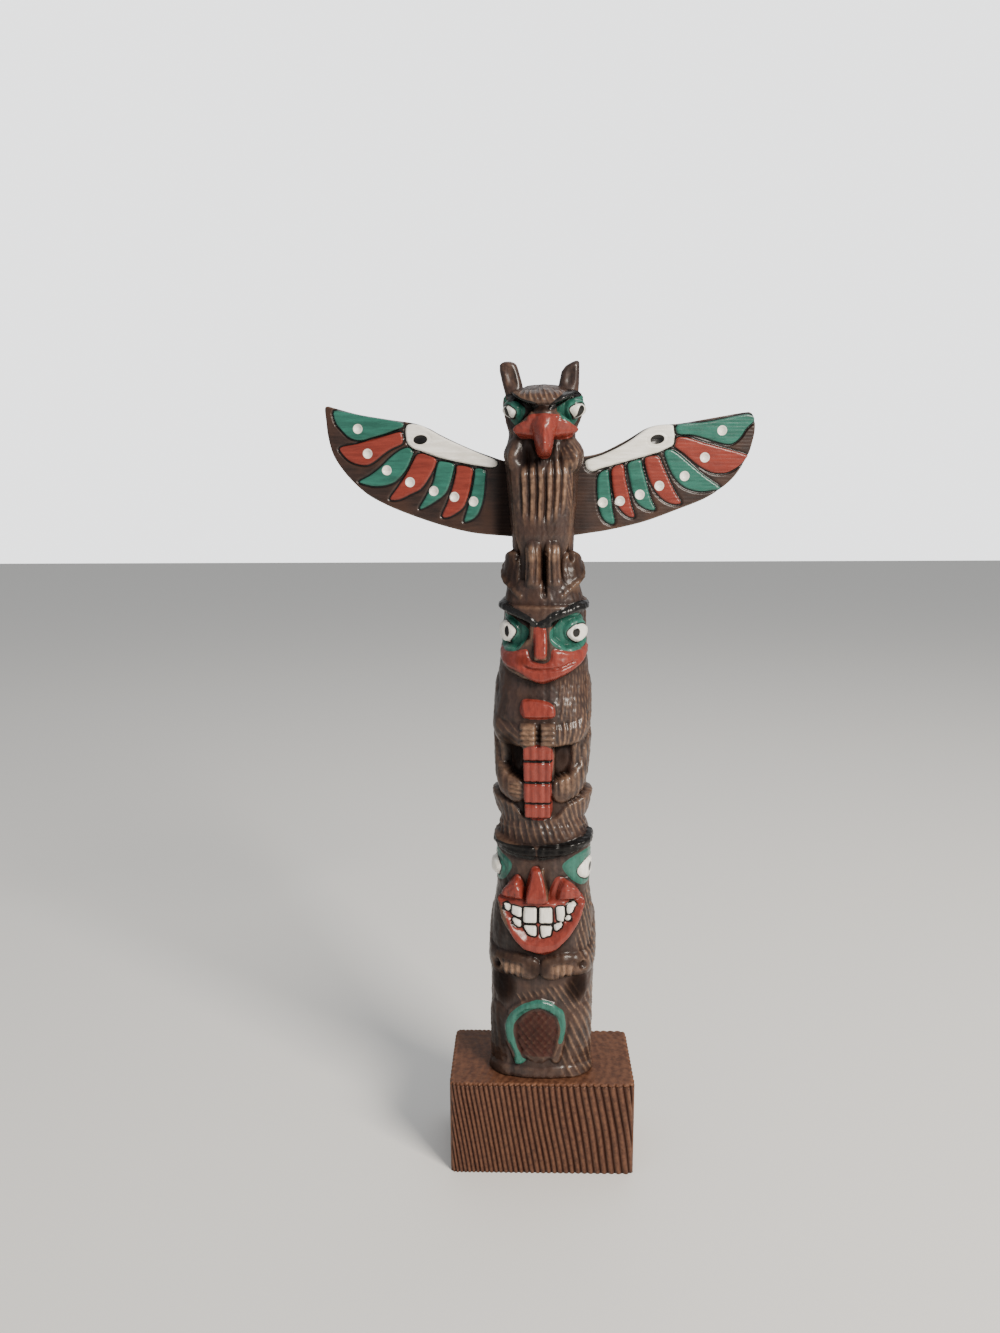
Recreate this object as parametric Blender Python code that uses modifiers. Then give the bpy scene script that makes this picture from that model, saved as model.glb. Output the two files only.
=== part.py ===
"""A small painted totem carving: a plinth block, a pole carved with three figures
(a horned bird, a figure that grips a ringed staff, a grinning beaver) and two wing boards.

Metres, +Z up. The origin is under the middle of the plinth, and the figures look along -Y.
"""

import math

import bmesh
import bpy
import numpy as np
from mathutils import Matrix, Vector
from mathutils.geometry import interpolate_bezier

MM = 0.001

# Plinth
PLINTH_WIDTH = 56 * MM
PLINTH_DEPTH = 32 * MM
PLINTH_HEIGHT = 29.5 * MM
PLINTH_CORNER = 2.2 * MM
PLINTH_EDGE = 0.7 * MM
COMB_PITCH = 2.2 * MM
COMB_DEPTH = 0.45 * MM

# Pole, to the bird's crown. Its section is a soft rectangle, flatter behind.
POLE_HEIGHT = 205.5 * MM
POLE_WIDTH = 32 * MM
FRONT_DEPTH = 12.8 * MM
BACK_DEPTH = 12.0 * MM
SECTION_POWER = 2.4

# Ear horns on the bird's crown
EAR_HEIGHT = 8.6 * MM
EAR_WIDTH = 5.8 * MM
EAR_TAPER = 0.84
EAR_THICKNESS = 4.6 * MM
EAR_SPACING = 14.8 * MM
EAR_FORWARD = -1 * MM
EAR_LEAN = math.radians(13)
EAR_FOOT = PLINTH_HEIGHT + POLE_HEIGHT - 2.9 * MM

# Wing boards
WING_REACH = 63.8 * MM
WING_THICKNESS = 3.4 * MM
WING_EDGE = 0.5 * MM
WING_LET_IN = 3 * MM
WING_BACK_SET = 1.2 * MM
WING_SWEEP = math.radians(6)
WING_RISE = {"left": math.radians(1.2), "right": math.radians(-1.2)}
WING_TOP_SHARE = 0.9

# What seats in or on another piece stays this far from it
CLEARANCE = 0.3 * MM

# The carving is laid out in units of the figures' own size: a unit is 1 mm on a pole
# 205.5 mm high and 32 mm wide. "Across" runs round the pole from the middle of the front
# and ends at HALF_GIRTH behind, "up" runs from the foot to the crown at CROWN.
CROWN = 205.5
HALF_WIDTH = 16.0
HALF_GIRTH = 42.0
COLUMNS = 132
ROWS = 250
FRONT_CROWDING = 0.6
POLE_TRIANGLES = 6500

# Half width of the plain pole under the carving, at heights from the foot
CORE = [
    (0, 15.5), (12, 15.6), (32, 15.8), (42, 15.7), (50, 15.2), (58, 14.0), (65, 14.2), (71, 14.3), (76, 13.6),
    (80, 12.1), (87, 12.8), (96, 13.6), (108, 14.2), (120, 13.6), (127, 12.9), (131, 12.0), (142, 12.0),
    (149, 10.3), (156, 8.7), (161, 8.9), (168, 9.5), (178, 10.2), (186, 11.0), (191, 9.2), (196, 11.0),
    (200, 11.7), (202, 11.0), (203.4, 9.6), (204.4, 7.4), (205.1, 5.0), (205.5, 3.0),
]

# How far the hand-carved pole stands off to the right of its axis, at heights from the foot
SWAY = [
    (0, 0), (50, 0.4), (75, 0.6), (82, 0.2), (110, 0.2), (125, 0.5), (132, 0.7), (145, 0.7), (152, 0.3),
    (185, -0.1), (191, -0.2), (197, 0.2), (205.5, 0.1),
]

# Each figure looks a little to its right, by this many units across. The bird's ears do so
# more than its face, and its beak points the other way.
LOWER_TURN, MIDDLE_TURN, BIRD_TURN = -0.9, -1.4, -0.3
EAR_TURN, BEAK_TURN = -0.7, 0.3

BROWN = (0.105, 0.052, 0.030, 1)
DARK_BROWN = (0.070, 0.036, 0.022, 1)
GREEN = (0.030, 0.190, 0.135, 1)


def clear_scene():
    for obj in list(bpy.data.objects):
        bpy.data.objects.remove(obj)


def collection(name, helpers=False):
    made = bpy.data.collections.new(name)
    made.hide_render = helpers
    bpy.context.scene.collection.children.link(made)
    return made


def material(name, colour, roughness):
    made = bpy.data.materials.new(name)
    made.use_nodes = True
    shader = made.node_tree.nodes["Principled BSDF"]
    shader.inputs["Base Color"].default_value = colour
    shader.inputs["Roughness"].default_value = roughness
    shader.inputs["Metallic"].default_value = 0
    return made


def add_object(name, data, into, finish=None):
    made = bpy.data.objects.new(name, data)
    into.objects.link(made)
    if finish:
        data.materials.append(finish)
    return made


def as_cutter(obj):
    obj.hide_render = True
    obj.display_type = "WIRE"
    return obj


def add_boolean(obj, other, operation):
    modifier = obj.modifiers.new(f"{operation.lower()} {other.name}", "BOOLEAN")
    modifier.operation = operation
    modifier.object = other
    modifier.solver = "EXACT"


# Masks and distances on the unrolled pole

def ease(value, low, high):
    """0 below low and 1 above high, turning smoothly between. It falls instead where high < low."""
    share = np.clip((value - low) / (high - low), 0, 1)
    return share * share * (3 - 2 * share)


def between(value, low, high, soft):
    return ease(value, low - soft / 2, low + soft / 2) * ease(value, high + soft / 2, high - soft / 2)


def dome(across, up, middle, half_size):
    """1 in the middle of an ellipse, falling to 0 at its rim as a ball's surface does."""
    reach = ((across - middle[0]) / half_size[0]) ** 2 + ((up - middle[1]) / half_size[1]) ** 2
    return np.sqrt(np.clip(1 - reach, 0, 1))


def from_line(across, up, points):
    """Distance to a line through the points."""
    nearest = np.full(np.shape(across), 1e9)
    for (x0, z0), (x1, z1) in zip(points, points[1:]):
        dx, dz = x1 - x0, z1 - z0
        share = np.clip(((across - x0) * dx + (up - z0) * dz) / (dx * dx + dz * dz), 0, 1)
        nearest = np.minimum(nearest, np.hypot(across - x0 - share * dx, up - z0 - share * dz))
    return nearest


def into_outline(across, up, points):
    """Distance inside a closed outline, negative outside it."""
    closed = [*points, points[0]]
    inside = np.zeros(np.shape(across), bool)
    for (x0, z0), (x1, z1) in zip(closed, closed[1:]):
        if z0 != z1:
            inside ^= ((z0 > up) != (z1 > up)) & (across < x0 + (up - z0) * (x1 - x0) / (z1 - z0))
    return np.where(inside, 1, -1) * from_line(across, up, closed)


def limb(across, up, points, radius):
    """1 on the line through the points, falling to 0 at the radius as a round limb does."""
    return np.sqrt(np.clip(1 - (from_line(across, up, points) / radius) ** 2, 0, 1))


def set_level(relief, level, mask):
    return relief + (level - relief) * mask


def laid_over(relief, level, mask):
    """Adds a form that hides what is lower, and leaves the rest as it is."""
    return np.maximum(relief, level * mask - 4 * ease(mask, 0.35, 0))


# The figures. Each takes the relief so far and gives it back with its own forms cut in.
# Forms on both sides are given once, by their distance from the figure's middle line, and
# an outline that meets that line runs on past it.

def carve_lower_body(relief, across, up):
    side = np.abs(across - LOWER_TURN)
    relief = relief + 0.9 * ease(up, 3, 0) * ease(side, 18, 12)
    thigh = limb(side, up, [(13.4, 17), (13, 0)], 5.2)
    relief = relief + 0.9 * thigh
    arm = limb(side, up, [(24, 47), (19, 37), (13, 35.6), (6.5, 36.2), (3.2, 35.4)], 3.8)
    relief = laid_over(relief, 2.2 - 1.5 * ease(side, 11, 20), arm)
    hollow = into_outline(side, up, [(6.2, 32.4), (15, 31.6), (16, 23.4), (11, 21.6), (8.2, 23.4)])
    relief = set_level(relief, -2.8, ease(hollow, -0.7, 0.6))
    relief = relief - 1.4 * dome(side, up, (11.6, 35.8), (1.2, 1.4))
    hoop = [(-5.8, 5.2), (-7.8, 11), (-8.4, 16), (-7.4, 20.5), (-4.4, 23.4), (0.2, 24.4),
            (3.4, 23.2), (5.9, 20.2), (6.5, 16), (5.8, 11), (4.8, 6)]
    relief = relief + 0.9 * ease(from_line(across - LOWER_TURN, up, hoop), 1.7, 0.8)
    return relief + 1.0 * dome(across, up, (LOWER_TURN, 14), (6.2, 9.4))


def carve_lower_face(relief, across, up):
    side = np.abs(across - LOWER_TURN)
    chin = [(-5, 40), (1, 40), (4.6, 41.6), (8, 45.4), (10.8, 50), (13.4, 56.4), (12.4, 58.6), (11, 56.8),
            (6, 57.2), (-5, 57.2)]
    muzzle = into_outline(side, up, chin)
    relief = set_level(relief, 1.9, ease(muzzle, -0.3, 1.5))
    lip = from_line(side, up, [(-1, 42.8), (4, 43.4), (7.4, 46.6), (10, 50.8), (12, 55.2)])
    relief = relief + 1.2 * ease(lip, 2.5, 0.8) * ease(muzzle, 0, 1)
    teeth = [(-5, 46), (3.4, 46.2), (6.6, 48.6), (9.4, 52), (11, 55), (-5, 55)]
    relief = set_level(relief, 1.7, ease(into_outline(side, up, teeth), -0.2, 0.5))
    bite = from_line(side, up, [(-1, 49), (3.5, 49.2), (7.8, 51.4), (9.6, 53)])
    relief = relief - 0.7 * ease(bite, 0.9, 0.2)
    cheek = [(12.6, 58), (11, 62), (8.6, 63.8), (6.4, 63.6), (4.6, 60), (4, 56), (11.6, 55.8)]
    relief = laid_over(relief, 2.5, ease(into_outline(side, up, cheek), -0.2, 1.9))
    socket = dome(side, up, (14.6, 65.2), (9.2, 6.2))
    relief = relief - 1.2 * ease(socket, 0, 0.6) * ease(muzzle, 0.2, -1)
    relief = relief + 2.3 * dome(side, up, (16.6, 64.6), (5.4, 3.2))
    nose_width = 1.8 + 1.4 * ease(up, 65, 57)
    nose_height = 1.2 + 2.3 * ease(up, 66.5, 57.5)
    nose = ease(side, nose_width + 0.8, nose_width - 0.6) * between(up, 56.2, 65.8, 1.0)
    relief = laid_over(relief, nose_height, nose)
    brow = from_line(side, up, [(-1, 71.4), (6, 71.8), (13.6, 73.6), (19, 74.6)])
    return laid_over(relief, 1.9 - 1.0 * ease(side, 12, 19), ease(brow, 1.9, 1.1))


def hood_top(side):
    """Height of the lower figure's hairline, which rises to the tips of its ears."""
    return 81.0 + 4.2 * ease(side, 4, 10) + 3.4 * ease(side, 8, 20)


def carve_lower_brow(relief, across, up):
    side = np.abs(across - LOWER_TURN)
    relief = relief + 0.9 * between(up, 73, 81, 1.6) * ease(side, 19, 12)
    ear = dome(side, up, (19.5, 88), (9.5, 8.4))
    under_top = ease(hood_top(side) - up, -0.1, 0.8)
    hood = np.maximum(1.1 * ease(side, 22, 13), 2.2 * ear)
    return np.where(up > 78, set_level(relief, np.maximum(hood, relief), under_top), relief)


def carve_middle_body(relief, across, up):
    side = np.abs(across - MIDDLE_TURN)
    hollow = into_outline(side, up, [(3.6, 104), (12.8, 105), (14.6, 98), (11.4, 93), (7.6, 92.2), (3.6, 92.6)])
    relief = set_level(relief, -2.2, ease(hollow, -0.7, 0.5))
    leg = limb(side, up, [(19.5, 103), (17, 95.5), (11.5, 90.6), (7.6, 89.4)], 4.0)
    relief = laid_over(relief, 1.9 - 1.3 * ease(side, 12, 19), leg)
    upper_arm = limb(side, up, [(22, 124), (19.6, 114), (16, 107)], 5.2)
    relief = relief + 0.4 * upper_arm
    forearm = limb(side, up, [(17, 107.6), (12, 106), (4.5, 106.6)], 3.9)
    relief = laid_over(relief, 2.4 - 1.8 * ease(side, 11, 18), forearm)
    chest = into_outline(across, up, [(-6.6, 116.2), (-2.8, 116.9), (3.5, 115.4), (3.3, 111.7), (-5.6, 111.5)])
    return relief + 0.9 * ease(chest, -0.1, 0.5)


def carve_staff(relief, across, up):
    """The ringed staff, which runs down over the lower figure's forehead, and the fists on it."""
    level = 2.1 + 0.4 * ease(up, 90, 81)
    for ring in (98.6, 92.0, 85.6):
        level = level - 0.7 * ease(np.abs(up - ring), 0.8, 0.2)
    staff = ease(np.abs(across + 1.8), 4.8, 4.1) * between(up, 80.3, 104, 0.8)
    relief = set_level(relief, level, staff)
    side = np.abs(across - MIDDLE_TURN)
    hand = between(side, 0.1, 5.3, 0.6) * between(up, 102.8, 110.2, 0.9)
    return set_level(relief, 2.9, hand)


def carve_middle_face(relief, across, up):
    side = np.abs(across - MIDDLE_TURN)
    jaw = [(-5, 121.2), (1, 121.2), (4.7, 122.2), (10, 124.4), (18.4, 128.8), (26, 132.4), (26, 144), (-5, 144)]
    face = into_outline(side, up, jaw)
    relief = set_level(relief, 0.5 + 1.6 * ease(side, 18, 5), ease(face, -0.3, 1.1) * ease(side, 26, 19))
    socket = [(3.2, 141), (3.4, 134), (8, 130.8), (15, 130.8), (21.5, 134), (23, 142), (12, 142)]
    relief = set_level(relief, -0.5, ease(into_outline(side, up, socket), -0.3, 1.3))
    relief = relief + 1.8 * dome(side, up, (13.4, 136), (5.6, 3.6))
    mouth = from_line(side, up, [(-1, 125.5), (3.5, 125.7), (8, 126.8), (13, 129)])
    relief = relief - 0.8 * ease(mouth, 0.9, 0.2)
    nose = ease(side, 2.9, 1.5) * between(up, 128.0, 139.4, 1.0)
    relief = laid_over(relief, 1.6 + 2.1 * ease(up, 139, 129.5), nose)
    brow = from_line(side, up, [(-1, 138.6), (1, 138.6), (5, 140.4), (11.6, 142.6), (21.5, 143.9), (24, 143.8)])
    return laid_over(relief, 2.2 - 1.2 * ease(side, 14, 20), ease(brow, 1.5, 0.8))


def carve_middle_ears(relief, across, up):
    side = np.abs(across - MIDDLE_TURN)
    relief = laid_over(relief, 1.2, between(up, 142.4, 150, 1.8) * ease(side, 20, 12))
    ear = dome(side, up, (21, 157.4), (10.5, 8)) * ease(up, 158.6, 156.6)
    relief = laid_over(relief, 2.3, ear)
    rim = from_line(side, up, [(21.4, 156.5), (17.5, 153.4), (14, 150.5), (8.8, 147.1), (5, 144.5)])
    return relief + 0.7 * ease(rim, 1.3, 0.3)


def carve_bird_body(relief, across, up):
    side = np.abs(across - BIRD_TURN)
    relief = relief + 1.3 * ease(side, 13.4, 11.6) * between(up, 160, 186, 5)
    leg_height = 1.3 + 3.0 * ease(up, 169, 158.6) - 1.3 * ease(up, 158.4, 148)
    leg_width = 3.2 + 0.4 * ease(up, 148, 160)
    lobe = np.sqrt(np.clip(1 - ((side - 4.2) / leg_width) ** 2, 0, 1))
    lobe = lobe * ease(up, 147, 148) * ease(up, 169, 162)
    relief = laid_over(relief, leg_height, lobe)
    flank = from_line(side, up, [(12.6, 156.5), (13.4, 170.5)])
    return relief - 1.4 * ease(flank, 1.1, 0.4)


def carve_bird_head(relief, across, up):
    side = np.abs(across - BIRD_TURN)
    throat = between(up, 182, 190, 5) * ease(side, 12, 7)
    relief = set_level(relief, -1.0, throat)
    socket = dome(side, up, (12.4, 197.4), (8.8, 5.6))
    relief = relief - 1.1 * ease(socket, 0, 0.5)
    relief = relief + 2.0 * dome(side, up, (13.2, 197.8), (4.8, 2.8))
    brow_line = 198.4 + 4.8 * ease(side, 2, 17)
    brow = ease(up - brow_line, -0.4, 0.6) * ease(up, 206.2, 201) * ease(side, 22, 13)
    relief = laid_over(relief, 2.0, brow)
    gape = [(-5, 189.4), (5, 189.6), (10.4, 190.2), (12.4, 191), (12.2, 193), (7.4, 195.2), (4.4, 197.6),
            (-5, 197.8)]
    relief = laid_over(relief, 2.0, ease(into_outline(side, up, gape), -0.3, 1.4))
    ridge = np.interp(up, [183.6, 184.3, 185.5, 187.5, 190, 193, 196, 198.4], [0, 5.4, 6.7, 7.4, 6.9, 5.2, 3.2, 1.2])
    ridge_width = np.interp(up, [183.6, 184.6, 187, 190, 193, 198.4], [1.4, 3.0, 4.0, 5.4, 7.0, 4.6])
    bend = np.clip(1 - np.clip(np.abs(across - BEAK_TURN) / ridge_width, 0, 1) ** 1.7, 0, 1)
    return laid_over(relief, ridge, bend)


def carved_relief(across, up):
    """How far the carving stands out from the plain pole, in units. Later forms cut or cover earlier ones."""
    relief = np.zeros(np.shape(across))
    for carve in (
        carve_lower_body, carve_lower_face, carve_middle_body, carve_lower_brow, carve_staff,
        carve_middle_face, carve_middle_ears, carve_bird_body, carve_bird_head,
    ):
        relief = carve(relief, across, up)
    return relief


def along(table, up):
    """A smooth curve through a table of values at heights from the foot."""
    heights, values = zip(*table)
    return np.mean([np.interp(up + step, heights, values) for step in np.linspace(-1.5, 1.5, 7)], axis=0)


def section_table():
    """The section's outline for a half width of 1: its share of the girth, x, y and outward normal."""
    angle = np.linspace(-np.pi, np.pi, 1441)
    sine, cosine = np.sin(angle), np.cos(angle)
    depth = np.where(cosine > 0, FRONT_DEPTH, BACK_DEPTH) / (POLE_WIDTH / 2)
    x = np.sign(sine) * np.abs(sine) ** (2 / SECTION_POWER)
    y = -np.sign(cosine) * np.abs(cosine) ** (2 / SECTION_POWER) * depth
    run = np.concatenate([[0], np.cumsum(np.hypot(np.diff(x), np.diff(y)))])
    tangent = np.stack([np.gradient(x), np.gradient(y)])
    tangent[:, [0, -1]] = tangent[:, [1, -2]].mean(axis=1, keepdims=True)
    normal = np.stack([tangent[1], -tangent[0]])
    return run / run[-1] * 2 - 1, x, y, normal / np.hypot(*normal)


def on_pole(across, up):
    """World places of points given across and up the carving."""
    share, x, y, normal = section_table()
    turn = across / HALF_GIRTH
    out_x = np.interp(turn, share, normal[0])
    out_y = np.interp(turn, share, normal[1])
    shrink = 1 / np.maximum(np.hypot(out_x, out_y), 1e-6)
    half_width = along(CORE, up)
    relief = carved_relief(across, up)
    wide = POLE_WIDTH / 2 / HALF_WIDTH
    return np.stack([
        (along(SWAY, up) + half_width * np.interp(turn, share, x) + relief * out_x * shrink) * wide,
        (half_width * np.interp(turn, share, y) + relief * out_y * shrink) * wide,
        PLINTH_HEIGHT + CLEARANCE + up / CROWN * (POLE_HEIGHT - CLEARANCE),
    ], axis=-1)


def row_heights():
    """Heights of the carving's rows, which close up towards the crown."""
    even = np.linspace(0, 1, ROWS)
    return CROWN * (even + 0.03 * np.sin(math.pi * even) * even)


def make_pole(finish, into):
    """A cylinder with many rings, each point moved to its place on the carving."""
    sculpt = bmesh.new()
    bmesh.ops.create_cone(sculpt, cap_ends=True, segments=COLUMNS, radius1=1, radius2=1, depth=1)
    upright = [e for e in sculpt.edges if abs(e.verts[0].co.z - e.verts[1].co.z) > 0.5]
    bmesh.ops.subdivide_edges(sculpt, edges=upright, cuts=ROWS - 2, use_grid_fill=False)
    places = np.array([v.co for v in sculpt.verts])
    turn = np.arctan2(places[:, 0], -places[:, 1]) / math.pi
    across = HALF_GIRTH * turn * (FRONT_CROWDING + (1 - FRONT_CROWDING) * np.abs(turn))
    row = np.rint((places[:, 2] + 0.5) * (ROWS - 1)).astype(int)
    for vert, place in zip(sculpt.verts, on_pole(across, row_heights()[row])):
        vert.co = place
    bmesh.ops.recalc_face_normals(sculpt, faces=sculpt.faces)
    mesh = bpy.data.meshes.new("pole")
    sculpt.to_mesh(mesh)
    sculpt.free()
    mesh.shade_smooth()
    return add_object("pole", mesh, into, finish)


def make_ear(side, sign, into):
    """A blunt horn: a drum drawn up and outwards, its top rounded over."""
    sculpt = bmesh.new()
    bmesh.ops.create_cone(sculpt, cap_ends=True, segments=16, radius1=1, radius2=EAR_TAPER, depth=1)
    top_rim = [e for e in sculpt.edges if all(v.co.z > 0 for v in e.verts)]
    bmesh.ops.bevel(sculpt, geom=top_rim, offset=0.22, segments=2, profile=0.5, affect="EDGES")
    bmesh.ops.scale(sculpt, verts=sculpt.verts, vec=(EAR_WIDTH / 2, EAR_THICKNESS / 2, EAR_HEIGHT))
    mesh = bpy.data.meshes.new(f"ear_{side}")
    sculpt.to_mesh(mesh)
    sculpt.free()
    ear = add_object(f"ear_{side}", mesh, into)
    middle = EAR_TURN / HALF_WIDTH * POLE_WIDTH / 2
    ear.matrix_world = (Matrix.Translation((middle + sign * EAR_SPACING / 2, EAR_FORWARD, EAR_FOOT))
                        @ Matrix.Rotation(sign * EAR_LEAN, 4, "Y") @ Matrix.Translation((0, 0, EAR_HEIGHT / 2)))
    return as_cutter(ear)


def wing_outline(side):
    """Corners of the board's edge as shares of its reach, from the root's top round by the tip.

    The right board is the shorter one, and its elbow is higher.
    """
    if side == "left":
        return [
            (0.0, -0.022), (0.072, -0.017), (0.153, 0.005), (0.23, 0.028), (0.318, 0.06), (0.406, 0.096),
            (0.467, 0.124), (0.538, 0.144), (0.67, 0.16), (0.819, 0.18), (0.947, 0.208), (0.986, 0.216),
            (1.0, 0.204), (0.995, 0.157), (0.984, 0.078), (0.954, -0.008), (0.887, -0.091), (0.796, -0.166),
            (0.706, -0.212), (0.582, -0.257), (0.406, -0.307), (0.23, -0.342), (0.054, -0.354), (0.0, -0.355),
        ]
    return [
        (0.0, 0.0), (0.089, 0.008), (0.151, 0.019), (0.212, 0.039), (0.316, 0.089), (0.4, 0.135), (0.467, 0.152),
        (0.573, 0.161), (0.747, 0.19), (0.894, 0.215), (0.933, 0.215), (0.952, 0.194), (0.959, 0.146),
        (0.951, 0.094), (0.928, 0.023), (0.872, -0.061), (0.805, -0.119), (0.715, -0.171), (0.585, -0.219),
        (0.406, -0.279), (0.23, -0.318), (0.12, -0.335), (0.0, -0.352),
    ]


def wing_points(side):
    """The board's edge: a smooth line through its corners, cut straight at the root."""
    root = POLE_WIDTH / 2 * 0.62 - WING_LET_IN
    corners = [Vector((root + out * (WING_REACH - root), up * WING_REACH)) for out, up in wing_outline(side)]
    points = []
    for i in range(len(corners) - 1):
        before, start, end = corners[max(i - 1, 0)], corners[i], corners[i + 1]
        after = corners[min(i + 2, len(corners) - 1)]
        drawn = interpolate_bezier(start, start + (end - before) / 6, end - (after - start) / 6, end, 4)
        points += [Vector(place[:2]) for place in drawn[:-1]]
    return [*points, corners[-1]]


def grown(points, distance):
    """The closed outline moved outwards by a distance on every side."""
    moved = []
    for i, point in enumerate(points):
        into = (point - points[i - 1]).normalized()
        out = (points[(i + 1) % len(points)] - point).normalized()
        mitre = into.orthogonal() + out.orthogonal()
        moved.append(point + mitre * distance / (1 + into.dot(out)))
    return moved


def board_mesh(name, points, thickness, place):
    """A flat board with this outline."""
    board = bmesh.new()
    face = board.faces.new([board.verts.new((p.x, p.y, -thickness / 2)) for p in points])
    raised = bmesh.ops.extrude_face_region(board, geom=[face])["geom"]
    bmesh.ops.translate(board, verts=[g for g in raised if isinstance(g, bmesh.types.BMVert)],
                        vec=(0, 0, thickness))
    board.transform(place)
    bmesh.ops.recalc_face_normals(board, faces=board.faces)
    mesh = bpy.data.meshes.new(name)
    board.to_mesh(mesh)
    board.free()
    return mesh


def wing_place(side):
    """The left board's place is the right one's mirrored, and each is tilted by its own rise."""
    top = PLINTH_HEIGHT + WING_TOP_SHARE * POLE_HEIGHT
    place = (Matrix.Translation((0, WING_BACK_SET, top)) @ Matrix.Rotation(WING_SWEEP, 4, "Z")
             @ Matrix.Rotation(-WING_RISE[side], 4, "Y") @ Matrix.Rotation(math.pi / 2, 4, "X"))
    return Matrix.Diagonal((-1, 1, 1, 1)) @ place if side == "left" else place


def make_wing(side, finish, into, helpers):
    """Makes a wing board and gives back the cutter that lets it into the bird's flank."""
    mesh = board_mesh(f"wing_{side}", wing_points(side), WING_THICKNESS, wing_place(side))
    board = add_object(f"wing_{side}", mesh, into, finish)
    rounding = board.modifiers.new("rounded edge", "BEVEL")
    rounding.width = WING_EDGE
    rounding.segments = 2
    rounding.limit_method = "ANGLE"
    rounding.angle_limit = math.radians(50)
    slot = board_mesh(f"wing_slot_{side}", grown(wing_points(side), CLEARANCE),
                      WING_THICKNESS + 2 * CLEARANCE, wing_place(side))
    return as_cutter(add_object(f"wing_slot_{side}", slot, helpers))


def combed_outline():
    """The plinth's outline seen from above: a rectangle with round corners and combed grooves all round."""
    corner_run = math.pi / 2 * PLINTH_CORNER
    sides = [PLINTH_WIDTH - 2 * PLINTH_CORNER, PLINTH_DEPTH - 2 * PLINTH_CORNER]
    girth = 2 * sum(sides) + 4 * corner_run
    ridges = max(8, round(girth / COMB_PITCH))
    points = []
    for i in range(ridges * 2):
        run = girth * i / (ridges * 2)
        dip = COMB_DEPTH * (i % 2)
        turn = 0
        while run > sides[turn % 2] + corner_run:
            run -= sides[turn % 2] + corner_run
            turn += 1
        straight = sides[turn % 2]
        bend = max(0.0, run - straight) / PLINTH_CORNER
        reach = PLINTH_CORNER - dip
        local = Vector((min(run, straight) + math.sin(bend) * reach - straight / 2,
                        -(sides[(turn + 1) % 2] / 2 + math.cos(bend) * reach)))
        points.append(Matrix.Rotation(turn * math.pi / 2, 2) @ local)
    return points


def make_plinth(finish, into):
    """The combed outline drawn up as a block, its upper and lower rims rounded."""
    block = board_mesh("plinth", combed_outline(), PLINTH_HEIGHT, Matrix.Translation((0, 0, PLINTH_HEIGHT / 2)))
    plinth = add_object("plinth", block, into, finish)
    rim = plinth.modifiers.new("rounded rim", "BEVEL")
    rim.width = PLINTH_EDGE
    rim.segments = 1
    rim.limit_method = "ANGLE"
    rim.angle_limit = math.radians(80)
    return plinth


def thin_out(obj, triangles):
    """Keeps the carving's forms with fewer, larger faces."""
    bpy.context.view_layer.update()
    seen = obj.evaluated_get(bpy.context.evaluated_depsgraph_get())
    mesh = seen.to_mesh()
    mesh.calc_loop_triangles()
    now = len(mesh.loop_triangles)
    seen.to_mesh_clear()
    modifier = obj.modifiers.new("fewer faces", "DECIMATE")
    modifier.decimate_type = "COLLAPSE"
    modifier.ratio = min(1.0, triangles / now)
    modifier.use_collapse_triangulate = True


def main():
    clear_scene()
    totem = collection("carved_totem")
    helpers = collection("cutters", helpers=True)
    stained = material("stained_wood", BROWN, 0.42)
    plinth_wood = material("plinth_wood", DARK_BROWN, 0.55)
    painted = material("painted_wing", GREEN, 0.4)
    make_plinth(plinth_wood, totem)
    pole = make_pole(stained, totem)
    for side, sign in (("left", -1), ("right", 1)):
        add_boolean(pole, make_ear(side, sign, helpers), "UNION")
    thin_out(pole, POLE_TRIANGLES)
    for side in ("left", "right"):
        add_boolean(pole, make_wing(side, painted, totem, helpers), "DIFFERENCE")


main()
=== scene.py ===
import math
from functools import partial

import bmesh
import bpy
import numpy as np
from mathutils import Matrix, Vector
from mathutils.geometry import interpolate_bezier


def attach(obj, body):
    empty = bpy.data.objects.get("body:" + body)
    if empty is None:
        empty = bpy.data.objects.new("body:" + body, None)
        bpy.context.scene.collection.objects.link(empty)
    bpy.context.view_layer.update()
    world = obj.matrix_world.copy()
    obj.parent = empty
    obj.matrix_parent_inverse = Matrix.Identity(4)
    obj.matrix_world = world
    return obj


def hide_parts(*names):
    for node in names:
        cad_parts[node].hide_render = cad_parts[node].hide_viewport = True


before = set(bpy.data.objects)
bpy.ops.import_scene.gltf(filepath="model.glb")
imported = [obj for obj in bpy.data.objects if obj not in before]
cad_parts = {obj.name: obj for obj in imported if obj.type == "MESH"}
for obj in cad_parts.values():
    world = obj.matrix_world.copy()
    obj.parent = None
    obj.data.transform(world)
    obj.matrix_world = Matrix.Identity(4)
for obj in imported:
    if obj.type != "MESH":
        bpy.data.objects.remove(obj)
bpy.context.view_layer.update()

# A small carved and painted totem. Everything is in metres, and the figures look along -Y.
# Carving and paint are laid out in millimetres on the unrolled pole, as a carver marks out a
# blank: "across" runs round it from the middle of the front, "up" runs up from its foot.
mm = 0.001
scene = bpy.context.scene
paintNames = ("red", "green", "black", "white")


# Masks and distances

def ease(value, low, high):
    share = np.clip((value - low) / (high - low), 0, 1)
    return share * share * (3 - 2 * share)


def between(value, low, high, soft):
    return ease(value, low - soft / 2, low + soft / 2) * ease(value, high + soft / 2, high - soft / 2)


def dome(across, up, middle, halfSize):
    reach = ((across - middle[0]) / halfSize[0]) ** 2 + ((up - middle[1]) / halfSize[1]) ** 2
    return np.sqrt(np.clip(1 - reach, 0, 1))


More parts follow.
